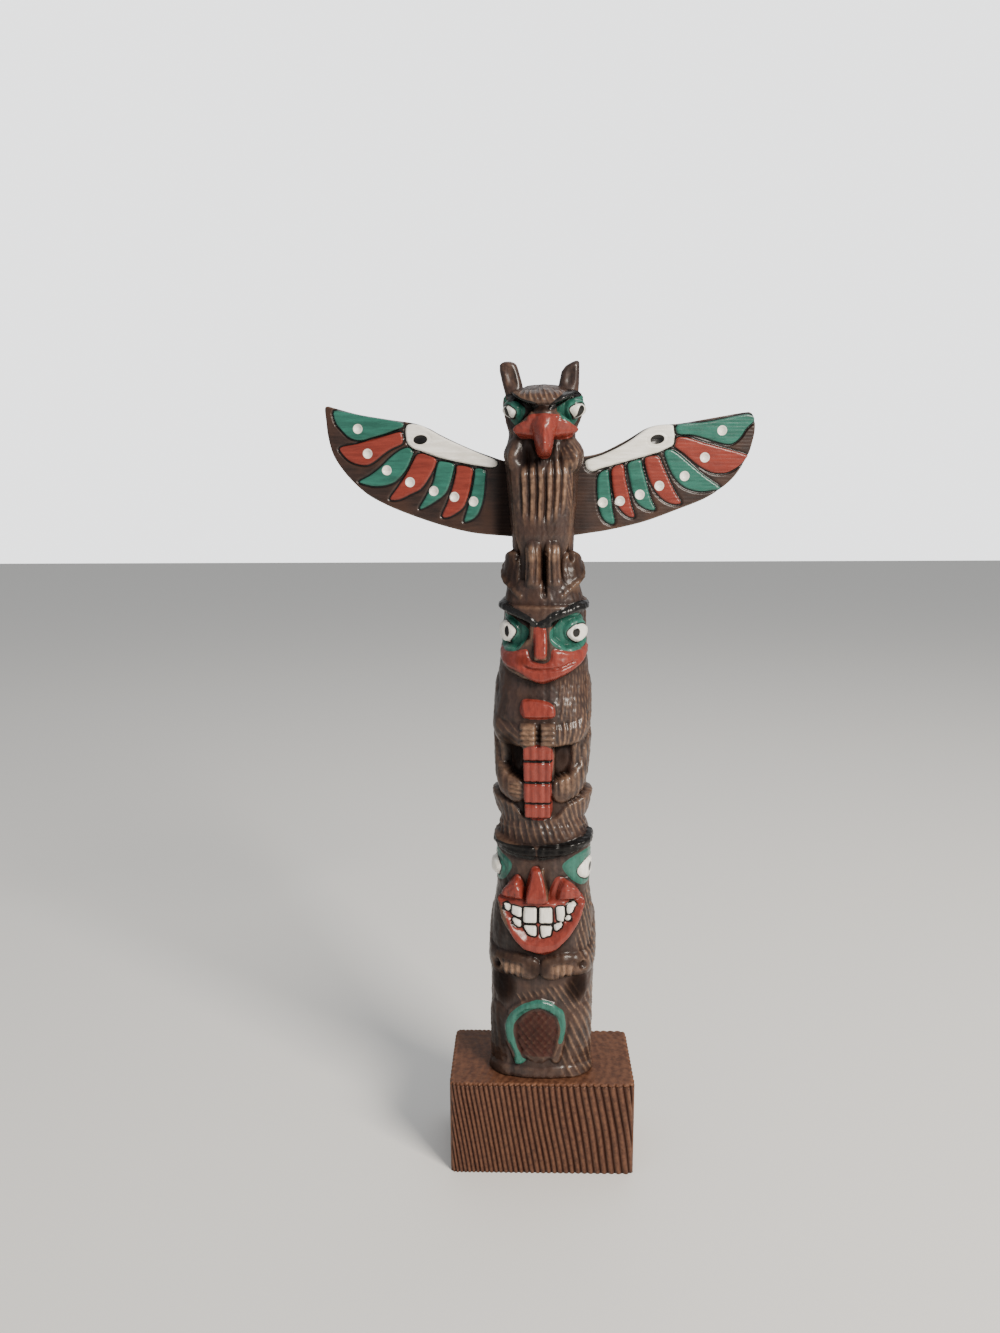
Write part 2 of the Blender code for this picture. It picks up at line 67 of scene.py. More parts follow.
def lineDistance(across, up, points):
    nearest = np.full(np.shape(across), 1e9)
    for (x0, z0), (x1, z1) in zip(points, points[1:]):
        dx, dz = x1 - x0, z1 - z0
        share = np.clip(((across - x0) * dx + (up - z0) * dz) / (dx * dx + dz * dz), 0, 1)
        nearest = np.minimum(nearest, np.hypot(across - x0 - share * dx, up - z0 - share * dz))
    return nearest


def insideBy(across, up, points):  # distance inside a closed outline, negative outside it
    closed = [*points, points[0]]
    inside = np.zeros(np.shape(across), bool)
    for (x0, z0), (x1, z1) in zip(closed, closed[1:]):
        if z0 != z1:
            inside ^= ((z0 > up) != (z1 > up)) & (across < x0 + (up - z0) * (x1 - x0) / (z1 - z0))
    return np.where(inside, 1, -1) * lineDistance(across, up, closed)


def limb(across, up, points, radius):
    return np.sqrt(np.clip(1 - (lineDistance(across, up, points) / radius) ** 2, 0, 1))


def setLevel(relief, level, mask):
    return relief + (level - relief) * mask


def laidOver(relief, level, mask):
    return np.maximum(relief, level * mask - 4 * ease(mask, 0.35, 0))


def roundOver(distance, over):  # 0 at an outline's edge, rising in a quarter circle to 1
    return np.sqrt(1 - (1 - np.clip(distance / over, 0, 1)) ** 2)


def curveSpan(p, steps):  # points of the smooth curve from p[1] to p[2], with the points before and after
    curve = interpolate_bezier(p[1], p[1] + (p[2] - p[0]) / 6, p[2] - (p[3] - p[1]) / 6, p[2], steps + 1)
    return [tuple(q[:2]) for q in curve[:-1]]


def rounded(points, steps=4):  # the outline with its corners drawn into a smooth curve
    drawn = []
    for i in range(len(points)):
        drawn += curveSpan([Vector(points[(i + k) % len(points)]) for k in (-1, 0, 1, 2)], steps)
    return drawn


def wander(a, b, seed):  # soft, slow unevenness between about -1 and 1
    return (np.sin(a + seed * 1.7 + 1.3 * np.sin(b * 0.7 + seed)) + np.sin(b * 1.3 + seed * 2.9
            + 1.1 * np.sin(a * 0.9 - seed))) / 2


def gouge(run, length, pitch, seed):  # hollow knife cuts side by side, sharp ridges between them
    lane = run / pitch + 0.16 * wander(length / 5, run / 9, seed)
    number = np.floor(lane)
    share = 2 * (lane - number) - 1
    chance = np.modf(np.abs(np.sin(number * 12.9898 + seed * 78.233)) * 43758.5453)[0]
    strength = 0.72 + 0.28 * np.sin(2 * math.pi * (length / (8 + 7 * chance) + chance * 3))
    return (share ** 2 - 1) * strength


# Paint is kept as the distance inside each colour's edge, so that its edges stay crisp

def emptyPaint(like):
    return {name: np.full(np.shape(like), -9.0) for name in paintNames}


def layPaint(paint, colour, distance):
    for name in paintNames:
        grown, cutBack = np.maximum(paint[name], distance), np.minimum(paint[name], -distance)
        paint[name] = grown if name == colour else cutBack


# Small helpers round Blender's own tools

def clearSelection():
    if bpy.context.object and bpy.context.object.mode != "OBJECT":
        bpy.ops.object.mode_set(mode="OBJECT")
    bpy.ops.object.select_all(action="DESELECT")


def justMade(name):  # names the new primitive and sets its place into its mesh
    piece = bpy.context.object
    piece.name = piece.data.name = name
    bpy.ops.object.transform_apply(location=True, rotation=True, scale=True)
    return piece


def pick(piece, kind, test):  # in edit mode, selects what passes the test
    bpy.ops.mesh.select_mode(type={"verts": "VERT", "edges": "EDGE", "faces": "FACE"}[kind])
    bpy.ops.mesh.select_all(action="DESELECT")
    sculpt = bmesh.from_edit_mesh(piece.data)
    for element in getattr(sculpt, kind):
        if test(element):
            element.select_set(True)
    bmesh.update_edit_mesh(piece.data)


def cutAlong(piece, axis, cuts):  # rings of cuts across every edge that runs along the axis
    def runsAlong(edge):
        run = edge.verts[1].co - edge.verts[0].co
        return abs(run[axis]) > 0.9 * run.length
    for number in cuts:
        pick(piece, "edges", runsAlong)
        bpy.ops.mesh.subdivide(number_cuts=number)


def places(piece):
    found = np.empty(len(piece.data.vertices) * 3)
    piece.data.vertices.foreach_get("co", found)
    return found.reshape(-1, 3)


def place(piece, points):
    piece.data.vertices.foreach_set("co", np.ascontiguousarray(points, float).ravel())
    piece.data.update()


def giveValues(piece, values):  # one number for each vertex, for the material to read
    for name, numbers in values.items():
        layer = piece.data.attributes.new(name, "FLOAT", "POINT")
        layer.data.foreach_set("value", np.ascontiguousarray(numbers, np.float32).ravel())


def combine(piece, other, operation):
    modifier = piece.modifiers.new(operation.lower(), "BOOLEAN")
    modifier.operation, modifier.object, modifier.solver = operation, other, "EXACT"
    clearSelection()
    bpy.context.view_layer.objects.active = piece
    piece.select_set(True)
    bpy.ops.object.modifier_apply(modifier=modifier.name)
    bpy.data.objects.remove(other)


# Materials

def colourOf(code):  # an sRGB hex code as Blender's linear colour
    parts = [int(code[i:i + 2], 16) / 255 for i in (0, 2, 4)]
    return (*[c / 12.92 if c <= 0.04045 else ((c + 0.055) / 1.055) ** 2.4 for c in parts], 1.0)


def addNode(tree, kind, inputs=(), give=0, **settings):  # sets and feeds a new node, gives one output
    node = tree.nodes.new("ShaderNode" + kind)
    for name, value in settings.items():
        setattr(node, name, value)
    for name, value in (inputs if isinstance(inputs, dict) else dict(enumerate(inputs))).items():
        if isinstance(value, bpy.types.NodeSocket):
            tree.links.new(value, node.inputs[name])
        else:
            node.inputs[name].default_value = value
    return node.outputs[give] if len(node.outputs) else None


def paintedWood(name, look):
    # Soft carving wood, brushed with a brown spirit stain, its raised edges rubbed bare, painted with
    # gloss enamel and lacquered. Painted shade darkens the hollows, a tan on the ridges is rubbed wear with
    # painted highlight, and the lacquer gives small sharp highlights
    material = bpy.data.materials.new(name)
    material.use_nodes = True
    material.node_tree.nodes.clear()
    add = partial(addNode, material.node_tree)
    value = {layer: add("Attribute", give="Fac", attribute_name=layer)
             for layer in (*paintNames, "crest", "hollow", "ruddy")}
    position = add("TexCoord", give="Object")
    grain = add("TexNoise", {"Vector": add("Mapping", {"Vector": position, "Scale": look["grainScale"]}),
                             "Scale": 1.0, "Detail": 5.0, "Roughness": 0.62})
    blotch = add("TexNoise", {"Vector": position, "Scale": 1 / look["blotchSize"], "Detail": 3.0})
    fine = add("TexNoise", {"Vector": position, "Scale": 1 / look["brushSize"], "Detail": 3.0,
                            "Roughness": 0.6})
    reddened = add("MapRange", (grain, *look["ruddyRange"]))
    rubbed = add("MapRange", (fine, *look["wearAndHighlightRange"]))
    # last come the tan on crests, rubbed wear with painted highlight, and near-black painted shade
    colour = colourOf(look["stainDark"])
    for shade, share in (
            ("stain", add("MapRange", (grain, *look["grainRange"]))),
            ("stainWarm", add("MapRange", (blotch, *look["blotchRange"]))),
            ("ruddy", add("Math", (value["ruddy"], reddened), operation="MULTIPLY")),
            ("rubbed", add("Math", (value["crest"], rubbed), operation="MULTIPLY")),
            ("grime", add("Math", (value["hollow"], look["woodShade"]), operation="MULTIPLY"))):
        colour = add("Mix", {0: share, 6: colour, 7: colourOf(look[shade])}, 2, data_type="RGBA")
    uneven = add("Math", (fine, 0.5), operation="SUBTRACT")
    ragged = add("Math", (uneven, look["ragged"]), operation="MULTIPLY")
    # painted shade darkens the paint too
    shadeOnPaint = add("Math", (value["hollow"], look["paintShade"]), operation="MULTIPLY")
    streak = add("MapRange", (grain, *look["paintRange"]))
    painted = 0.0
    for paint in paintNames:
        edge = 0.0 if paint == "white" else look["paintOver"]
        inside = add("Math", (value[paint], ragged), operation="ADD")
        cover = add("MapRange", (inside, edge - look["edgeBlur"], edge + look["edgeBlur"]))
        shade = add("Mix", {0: streak, 6: colourOf(look[paint + "Dark"]), 7: colourOf(look[paint])}, 2,
                    data_type="RGBA")
        shade = add("Mix", {0: shadeOnPaint, 6: shade, 7: colourOf(look["grime"])}, 2, data_type="RGBA")
        colour = add("Mix", {0: cover, 6: colour, 7: shade}, 2, data_type="RGBA")
        painted = add("Math", (painted, cover), operation="MAXIMUM")
    rough = add("MapRange", (painted, 0, 1, look["woodRough"], look["paintRough"]))
    rough = add("Math", (rough, add("MapRange", (fine, *look["roughRange"]))), operation="ADD")
    grainHeight = add("Math", (grain, look["grainDepth"]), operation="MULTIPLY")
    brushHeight = add("Math", (fine, look["brushDepth"]), operation="MULTIPLY")
    height = add("Math", (grainHeight, brushHeight), operation="ADD")
    # where shade is painted, the specular and the lacquer are turned down as well
    shader = add("BsdfPrincipled", {
        "Base Color": colour, "Roughness": rough,
        "Normal": add("Bump", {"Height": height, "Strength": 1.0, "Distance": 1.0}),
        "Specular IOR Level": add("MapRange", (value["hollow"], *look["hollowRange"], look["specular"], 0.03)),
        "Coat Weight": add("MapRange", (value["hollow"], *look["hollowRange"], look["lacquer"], 0.05)),
        "Coat Roughness": look["lacquerRough"], "Coat IOR": 1.5})
    add("OutputMaterial", {"Surface": shader})
    return material


# Stain, paint and lacquer. Sizes are in metres, so a grain scale of 900 is about 1 mm wide. Each range
# is what comes in, low and high, and what it gives. The near-black brown, with its amounts for wood and
# paint, is painted shade; the tan for ridge tops is rubbed wear with painted highlight.
finish = {
    "stain": "3b2b26", "stainDark": "1e1411", "stainWarm": "432b1f", "rubbed": "937259", "ruddy": "3d160b",
    "grime": "0d0807", "red": "81352a", "redDark": "692820", "green": "2d6759", "greenDark": "224f44",
    "black": "0d0b0a", "blackDark": "070606", "white": "f2efe8", "whiteDark": "d6d1c6",
    "grainScale": (900.0, 900.0, 90.0), "blotchSize": 0.009, "brushSize": 0.0016, "ragged": 0.12,
    "grainRange": (0.34, 0.68, 0, 1), "blotchRange": (0.42, 0.66, 0, 0.55), "ruddyRange": (0.3, 0.6, 0.55, 1),
    "wearAndHighlightRange": (0.36, 0.6, 0.35, 1), "paintRange": (0.36, 0.66, 0, 1), "roughRange": (0.3, 0.7, -0.05, 0.08),
    "hollowRange": (0.1, 0.8), "paintOver": -0.1, "edgeBlur": 0.07, "woodShade": 0.88, "paintShade": 0.55,
    "grainDepth": 0.00006, "brushDepth": 0.00005, "woodRough": 0.48, "paintRough": 0.3,
    "lacquer": 0.4, "lacquerRough": 0.2, "specular": 0.2,
}


# Camera: fitted to the plinth's corners and the pole's axis
camera = {
    "place": (-0.00465, -0.29114, 0.20261),
    "pitch": math.radians(9.49), "roll": math.radians(0.28), "yaw": math.radians(-1.53),
    "lens": 27.0, "sensor": 36.0,
}


def makeCamera(values):
    data = bpy.data.cameras.new("camera")
    data.lens, data.sensor_width, data.sensor_fit = values["lens"], values["sensor"], "AUTO"
    data.clip_start = 0.01
    eye = bpy.data.objects.new("camera", data)
    scene.collection.objects.link(eye)
    turn = (Matrix.Rotation(-values["yaw"], 4, "Z") @ Matrix.Rotation(math.pi / 2 - values["pitch"], 4, "X")
            @ Matrix.Rotation(-values["roll"], 4, "Z"))
    eye.matrix_world = Matrix.Translation(values["place"]) @ turn
    scene.camera = eye


# Light: a large soft box to the right, in front and above, a weak one on the left, a pale room
lights = {
    "key": {"place": (0.55, -0.62, 0.62), "aim": (0, 0, 0.14), "size": 0.34, "power": 16.0, "tint": "fff6ea"},
    "fill": {"place": (-0.75, -0.7, 0.35), "aim": (0, 0, 0.12), "size": 0.7, "power": 0.5, "tint": "eaf1ff"},
    "top": {"place": (0.1, 0.35, 0.85), "aim": (0, 0, 0.15), "size": 0.5, "power": 1.2, "tint": "ffffff"},
    "room": "e8e9ea", "roomStrength": 0.6, "wallStrength": 3.0, "floor": "e6e5e2",
}


def makeLights(values):
    for name in ("key", "fill", "top"):
        one = values[name]
        data = bpy.data.lights.new(name, "AREA")
        data.size, data.energy, data.color = one["size"], one["power"], colourOf(one["tint"])[:3]
        lamp = bpy.data.objects.new(name, data)
        scene.collection.objects.link(lamp)
        lamp.location = one["place"]
        lamp.rotation_euler = (Vector(one["aim"]) - Vector(one["place"])).to_track_quat("-Z", "Y").to_euler()
    world = bpy.data.worlds.new("room")
    world.use_nodes = True
    background = world.node_tree.nodes["Background"]
    background.inputs["Color"].default_value = colourOf(values["room"])
    # the wall that the camera sees is brighter than the light the room gives
    seen = addNode(world.node_tree, "LightPath", give="Is Camera Ray")
    strength = addNode(world.node_tree, "MapRange",
                       (seen, 0, 1, values["roomStrength"], values["wallStrength"]))
    world.node_tree.links.new(strength, background.inputs["Strength"])
    scene.world = world


def makeFloor(values):
    clearSelection()
    bpy.ops.mesh.primitive_plane_add(size=6, location=(0, 0, 0))
    floor = justMade("floor")
    paper = bpy.data.materials.new("pale-paper")  # plain matt studio paper
    paper.use_nodes = True
    shader = paper.node_tree.nodes["Principled BSDF"]
    shader.inputs["Base Color"].default_value = colourOf(values["floor"])
    shader.inputs["Roughness"].default_value = 0.85
    floor.data.materials.append(paper)


makeCamera(camera)
makeLights(lights)
makeFloor(lights)
print("camera, lights and floor are set")


# The pole. Its sizes are the CAD's, and the tables are half widths and the hand-made sway by height.
pole = {
    "foot": 29.8, "height": 205.2, "width": 32.0, "frontDepth": 12.8, "backDepth": 12.0, "sectionPower": 2.4,
    "crown": 205.5, "crownDrop": 1.0, "halfGirth": 42.0, "columns": 176, "rowCuts": (21, 24),
    "crowding": 0.6,
    "lowerTurn": -0.9, "lowerNoseTurn": -1.9, "middleTurn": -1.4, "birdTurn": -0.3, "beakTurn": 0.5,
    "staffMiddle": -1.8, "handMiddle": -1.6, "fingerPitch": 1.55, "rings": (98.6, 92.2, 85.7),
    "flutes": (-2.2, 0, 2.2), "facetDepth": 0.22, "facetPitch": 1.9, "toothGrow": 0.5, "toothRise": 0.75,
    "toothLine": 0.38, "whiteLine": 0.3, "hatchLeans": (38, -38), "hatchDepth": 0.35, "hatchPitch": 1.7,
    "wearAndLightDepth": 0.35, "hollowDepth": 1.3, "staffRight": 2.7,
    "core": [
        (0, 15.5), (12, 15.6), (32, 15.8), (42, 15.7), (50, 15.2), (58, 14.0), (65, 14.2), (71, 14.3),
        (76, 13.6), (80, 12.1), (87, 12.8), (96, 13.6), (108, 14.2), (120, 13.6), (127, 12.9), (131, 12.0),
        (142, 12.0), (149, 10.3), (156, 8.7), (161, 8.9), (168, 9.5), (178, 10.2), (186, 11.0), (191, 9.2),
        (196, 11.0), (200, 11.7), (202, 11.0), (203.4, 9.6), (204.4, 7.4), (205.1, 5.0), (205.5, 3.0)],
    "sway": [
        (0, 0), (50, 0.4), (75, 0.6), (82, 0.2), (110, 0.2), (125, 0.5), (132, 0.7), (145, 0.7), (152, 0.3),
        (185, -0.1), (191, -0.2), (197, 0.2), (205.5, 0.1)],
}


def lowerBody(relief, across, up):
    side = np.abs(across - pole["lowerTurn"])
    relief = relief + 0.9 * dome(side, up, (7, 0), (12, 3.4))
    relief = relief + 0.9 * limb(side, up, [(13.4, 17), (13, 0)], 5.2)
    arm = limb(side, up, [(24, 47), (19, 37), (13, 35.6), (6.5, 36.2), (3.2, 35.4)], 3.8)
    relief = laidOver(relief, 1.8 - 1.1 * ease(side, 11, 20), arm)
    for outline in ([(-8, 32.4), (-14, 31.6), (-15.4, 24), (-11.6, 22), (-8.8, 23.6)],
                    [(6, 32.4), (11.4, 32), (12.4, 25), (10, 22.4), (7.6, 24)]):
        relief = setLevel(relief, -2.8, ease(insideBy(across, up, outline), -0.7, 0.6))
    relief = relief - 1.4 * dome(side, up, (11.6, 35.8), (1.2, 1.4))
    hoop = [(-5.8, 5.2), (-7.8, 11), (-8.4, 16), (-7.4, 20.5), (-4.4, 23.4), (0.2, 24.4),
            (3.4, 23.2), (5.9, 20.2), (6.5, 16), (5.8, 11), (4.8, 6)]
    relief = relief + 0.9 * ease(lineDistance(across - pole["lowerTurn"], up, hoop), 1.7, 0.8)
    return relief + 0.9 * dome(across, up, (pole["lowerTurn"], 14), (6.2, 9.4))


def lowerFace(relief, across, up):
    side = np.abs(across - pole["lowerTurn"])
    chin = [(-5, 40), (1, 40), (4.6, 41.6), (8, 45.4), (10.8, 50), (13.4, 56.4), (12.4, 58.6), (11, 56.8),
            (6, 57.2), (-5, 57.2)]
    muzzle = insideBy(side, up, chin)
    relief = setLevel(relief, 1.9, ease(muzzle, -0.3, 1.5))
    lip = lineDistance(side, up, [(-1, 42.8), (4, 43.4), (7.4, 46.6), (10, 50.8), (12, 55.2)])
    relief = relief + 1.2 * ease(lip, 2.5, 0.8) * ease(muzzle, 0, 1)
    mouth = [(-5, 46), (3.4, 46.2), (6.6, 48.6), (9.4, 52), (11, 55), (-5, 55)]
    relief = setLevel(relief, 1.5, ease(insideBy(side, up, mouth), -0.2, 0.5))
    cheek = [(12.6, 58), (11, 62), (8.6, 63.8), (6.4, 63.6), (4.6, 60), (4, 56), (11.6, 55.8)]
    relief = laidOver(relief, 2.5, ease(insideBy(side, up, cheek), -0.2, 1.9))
    socket = dome(side, up, (14.6, 65.2), (9.2, 6.2))
    relief = relief - 1.2 * ease(socket, 0, 0.6) * ease(muzzle, 0.2, -1)
    relief = relief + np.where(across < 0, 2.7, 1.5) * dome(side, up, (16.6, 64.6), (5.4, 3.2))
    noseWidth = 1.8 + 1.4 * ease(up, 65, 57)
    nose = ease(np.abs(across - pole["lowerNoseTurn"]), noseWidth + 0.8, noseWidth - 0.6)
    nose = nose * between(up, 56.2, 65.8, 1.0)
    relief = laidOver(relief, 1.2 + 2.3 * ease(up, 66.5, 57.5), nose)
    brow = lineDistance(side, up, [(-1, 71.4), (6, 71.8), (13.6, 73.6), (19, 74.6)])
    return laidOver(relief, 1.9 - 1.0 * ease(side, 12, 19), ease(brow, 1.9, 1.1))


def lowerBrow(relief, across, up):
    side = np.abs(across - pole["lowerTurn"])
    relief = relief + 0.9 * between(up, 73, 81, 1.6) * ease(side, 19, 12)
    ear = dome(side, up, (19.5, 88), (9.5, 8.4))
    hairline = 81.0 + 4.2 * ease(side, 4, 10) + 3.4 * ease(side, 8, 20)
    hood = np.maximum(1.1 * ease(side, 22, 13), 2.2 * ear)
    hooded = setLevel(relief, np.maximum(hood, relief), ease(hairline - up, -0.1, 0.8))
    return np.where(up > 78, hooded, relief)


def middleBody(relief, across, up):
    side = np.abs(across - pole["middleTurn"])
    relief = np.maximum(relief, 1.5 * ease(up, 121, 110.5) * ease(side, 19, 12) * ease(up, 103, 106))
    left = [(-6, 104.4), (-9.4, 105.8), (-13.4, 104.6), (-13.9, 97), (-11, 93.6), (-6.4, 92.8)]
    right = [(3.8, 104), (9, 103.8), (9.8, 98), (8, 93.6), (3.8, 92.8)]
    for depth, outline in ((-2.6, left), (-1.9, right)):  # the gaps beside the staff
        relief = setLevel(relief, depth, ease(insideBy(across, up, outline), -0.7, 0.5))
    leg = limb(side, up, [(19.5, 103), (17, 95.5), (11.5, 90.6), (7.6, 89.4)], 4.0)
    relief = laidOver(relief, 1.9 - 1.3 * ease(side, 12, 19), leg)
    forearm = limb(side, up, [(19.8, 119), (19, 113.6), (16, 109.6), (11, 107.1), (4, 106.3)], 3.9)
    relief = laidOver(relief, 2.4 - 1.8 * ease(side, 11, 18), forearm)
    chest = insideBy(across, up, [(-6.6, 116.2), (-2.8, 116.9), (3.5, 115.4), (3.3, 111.7), (-5.6, 111.5)])
    return relief + 0.9 * ease(chest, -0.1, 0.5)


def staff(relief, across, up):
    level = 2.1 + 0.4 * ease(up, 90, 81)
    off = across - pole["staffMiddle"]
    for ring in pole["rings"]:
        level = level - 0.8 * ease(np.abs(up - ring), 0.7, 0.15)
    for flute in pole["flutes"]:
        level = level - 0.25 * ease(np.abs(off - flute), 0.8, 0.1)
    relief = setLevel(relief, level, ease(np.abs(off), 4.5, 3.8) * between(up, 81.4, 104, 0.8))
    hand = np.abs(across - pole["handMiddle"])
    fingers = 1.9 + 1.1 * np.sqrt(np.abs(np.sin((up - 103.3) / pole["fingerPitch"] * math.pi)))
    fingers = fingers - 1.2 * ease(hand, 1.0, 0.4)
    return setLevel(relief, fingers, between(hand, -1, 4.8, 0.6) * between(up, 103.1, 109.8, 0.7))


def middleFace(relief, across, up):
    side = np.abs(across - pole["middleTurn"])
    jaw = [(-5, 121.2), (1, 121.2), (4.7, 122.2), (10, 124.4), (18.4, 128.8), (26, 132.4), (26, 144),
           (-5, 144)]
    face = insideBy(side, up, jaw)
    relief = setLevel(relief, 0.5 + 1.6 * ease(side, 18, 5), ease(face, -0.3, 1.1) * ease(side, 26, 19))
    socket = [(3.2, 141), (3.4, 134), (8, 130.8), (15, 130.8), (21.5, 134), (23, 142), (12, 142)]
    relief = setLevel(relief, -0.5, ease(insideBy(side, up, socket), -0.3, 1.3))
    relief = relief + 1.8 * dome(side, up, (13.4, 136), (5.6, 3.6))
    nose = ease(side, 2.9, 1.5) * between(up, 128.0, 139.4, 1.0)
    relief = laidOver(relief, 1.6 + 2.1 * ease(up, 139, 129.5), nose)
    brow = lineDistance(side, up, [(-1, 138.6), (1, 138.6), (5, 140.4), (11.6, 142.6), (21.5, 143.9),
                                   (24, 143.8)])
    return laidOver(relief, 2.2 - 1.2 * ease(side, 14, 20), ease(brow, 1.5, 0.8))


def middleEars(relief, across, up):
    side = np.abs(across - pole["middleTurn"])
    relief = laidOver(relief, 1.2, ease(up, 137, 146) * ease(up, 152, 148) * ease(side, 20, 12))
    ear = insideBy(side, up, rounded([(9.4, 156.2), (14.4, 159), (20.4, 157.9), (26, 155), (24, 150),
                                      (18.4, 149.6), (14.4, 147.8), (9.8, 146.4), (8.4, 148.2)]))
    relief = laidOver(relief, 0.9 + 1.4 * ease(side, 9, 19), ease(ear, -0.2, 1.2))
    rim = lineDistance(side, up, [(22.4, 155), (17.6, 151.6), (13.6, 149.4), (9.8, 147.4), (7.4, 146)])
    beads = 0.7 + 0.12 * np.sin(side * 3.1)
    return relief + 0.75 * ease(rim, 1.1, 0.2) * beads


def birdBody(relief, across, up):
    side = np.abs(across - pole["birdTurn"])
    relief = relief + 1.3 * ease(side, 13.4, 11.6) * between(up, 160, 186, 5)
    relief = relief + 0.7 * dome(side, up, (12.5, 185.6), (6, 4.4))
    relief = relief + 1.2 * dome(across, up, (13.5, 185.6), (6, 5.4))  # the fuller right cheek
    legHeight = 1.2 + 2.3 * ease(up, 165, 157) - 1.3 * ease(up, 157, 148)
    legWidth = 3.2 + 0.4 * ease(up, 148, 160)
    lobe = np.sqrt(np.clip(1 - ((side - 4.2) / legWidth) ** 2, 0, 1))
    relief = laidOver(relief, legHeight, lobe * ease(up, 146, 150) * ease(up, 165.5, 158.5))
    flank = lineDistance(side, up, [(12.6, 156.5), (13.4, 170.5)])
    return relief - 1.4 * ease(flank, 1.1, 0.4)


def birdHead(relief, across, up):
    side = np.abs(across - pole["birdTurn"])
    relief = setLevel(relief, -0.5 - 0.9 * ease(across, 2, -4), between(up, 182, 190, 5) * ease(side, 12, 7))
    socket = dome(side, up, (12.4, 197.4), (8.8, 5.6))
    relief = relief - 1.1 * ease(socket, 0, 0.5)
    relief = relief + 2.0 * dome(side, up, (13.2, 197.8), (4.8, 2.8))
    browLine = 198.4 + 4.8 * ease(side, 2, 17)
    relief = relief + 0.7 * dome(across, up, (15, 197.6), (5, 6))
    brow = ease(up - browLine, -0.4, 0.6) * ease(up, 204.6, 200) * ease(side, 22, 13)
    relief = laidOver(relief, 2.0, brow)
    gape = [(-12, 191), (-10.4, 190.2), (-5, 189.6), (5, 189.5), (10.4, 190), (14.8, 190.8), (15, 193),
            (9, 195.4), (4.4, 197.2), (-4.6, 197.2), (-7.4, 195.2), (-12.2, 193)]
    relief = laidOver(relief, 2.0, ease(insideBy(across, up, gape), -0.3, 1.4))
    heights = [184.7, 185.4, 186.4, 188, 190.2, 193, 196, 198.4]
    ridge = np.interp(up, heights, [0, 5.4, 6.7, 7.4, 6.9, 5.2, 3.2, 1.2])
    ridgeWidth = np.interp(up, [184.4, 185.4, 187.6, 190.2, 193, 198.4], [1.6, 3.0, 3.9, 4.9, 6.4, 4.6])
    off = np.abs(across - pole["beakTurn"])
    return laidOver(relief, ridge, np.clip(1 - np.clip(off / ridgeWidth, 0, 1) ** 1.7, 0, 1))


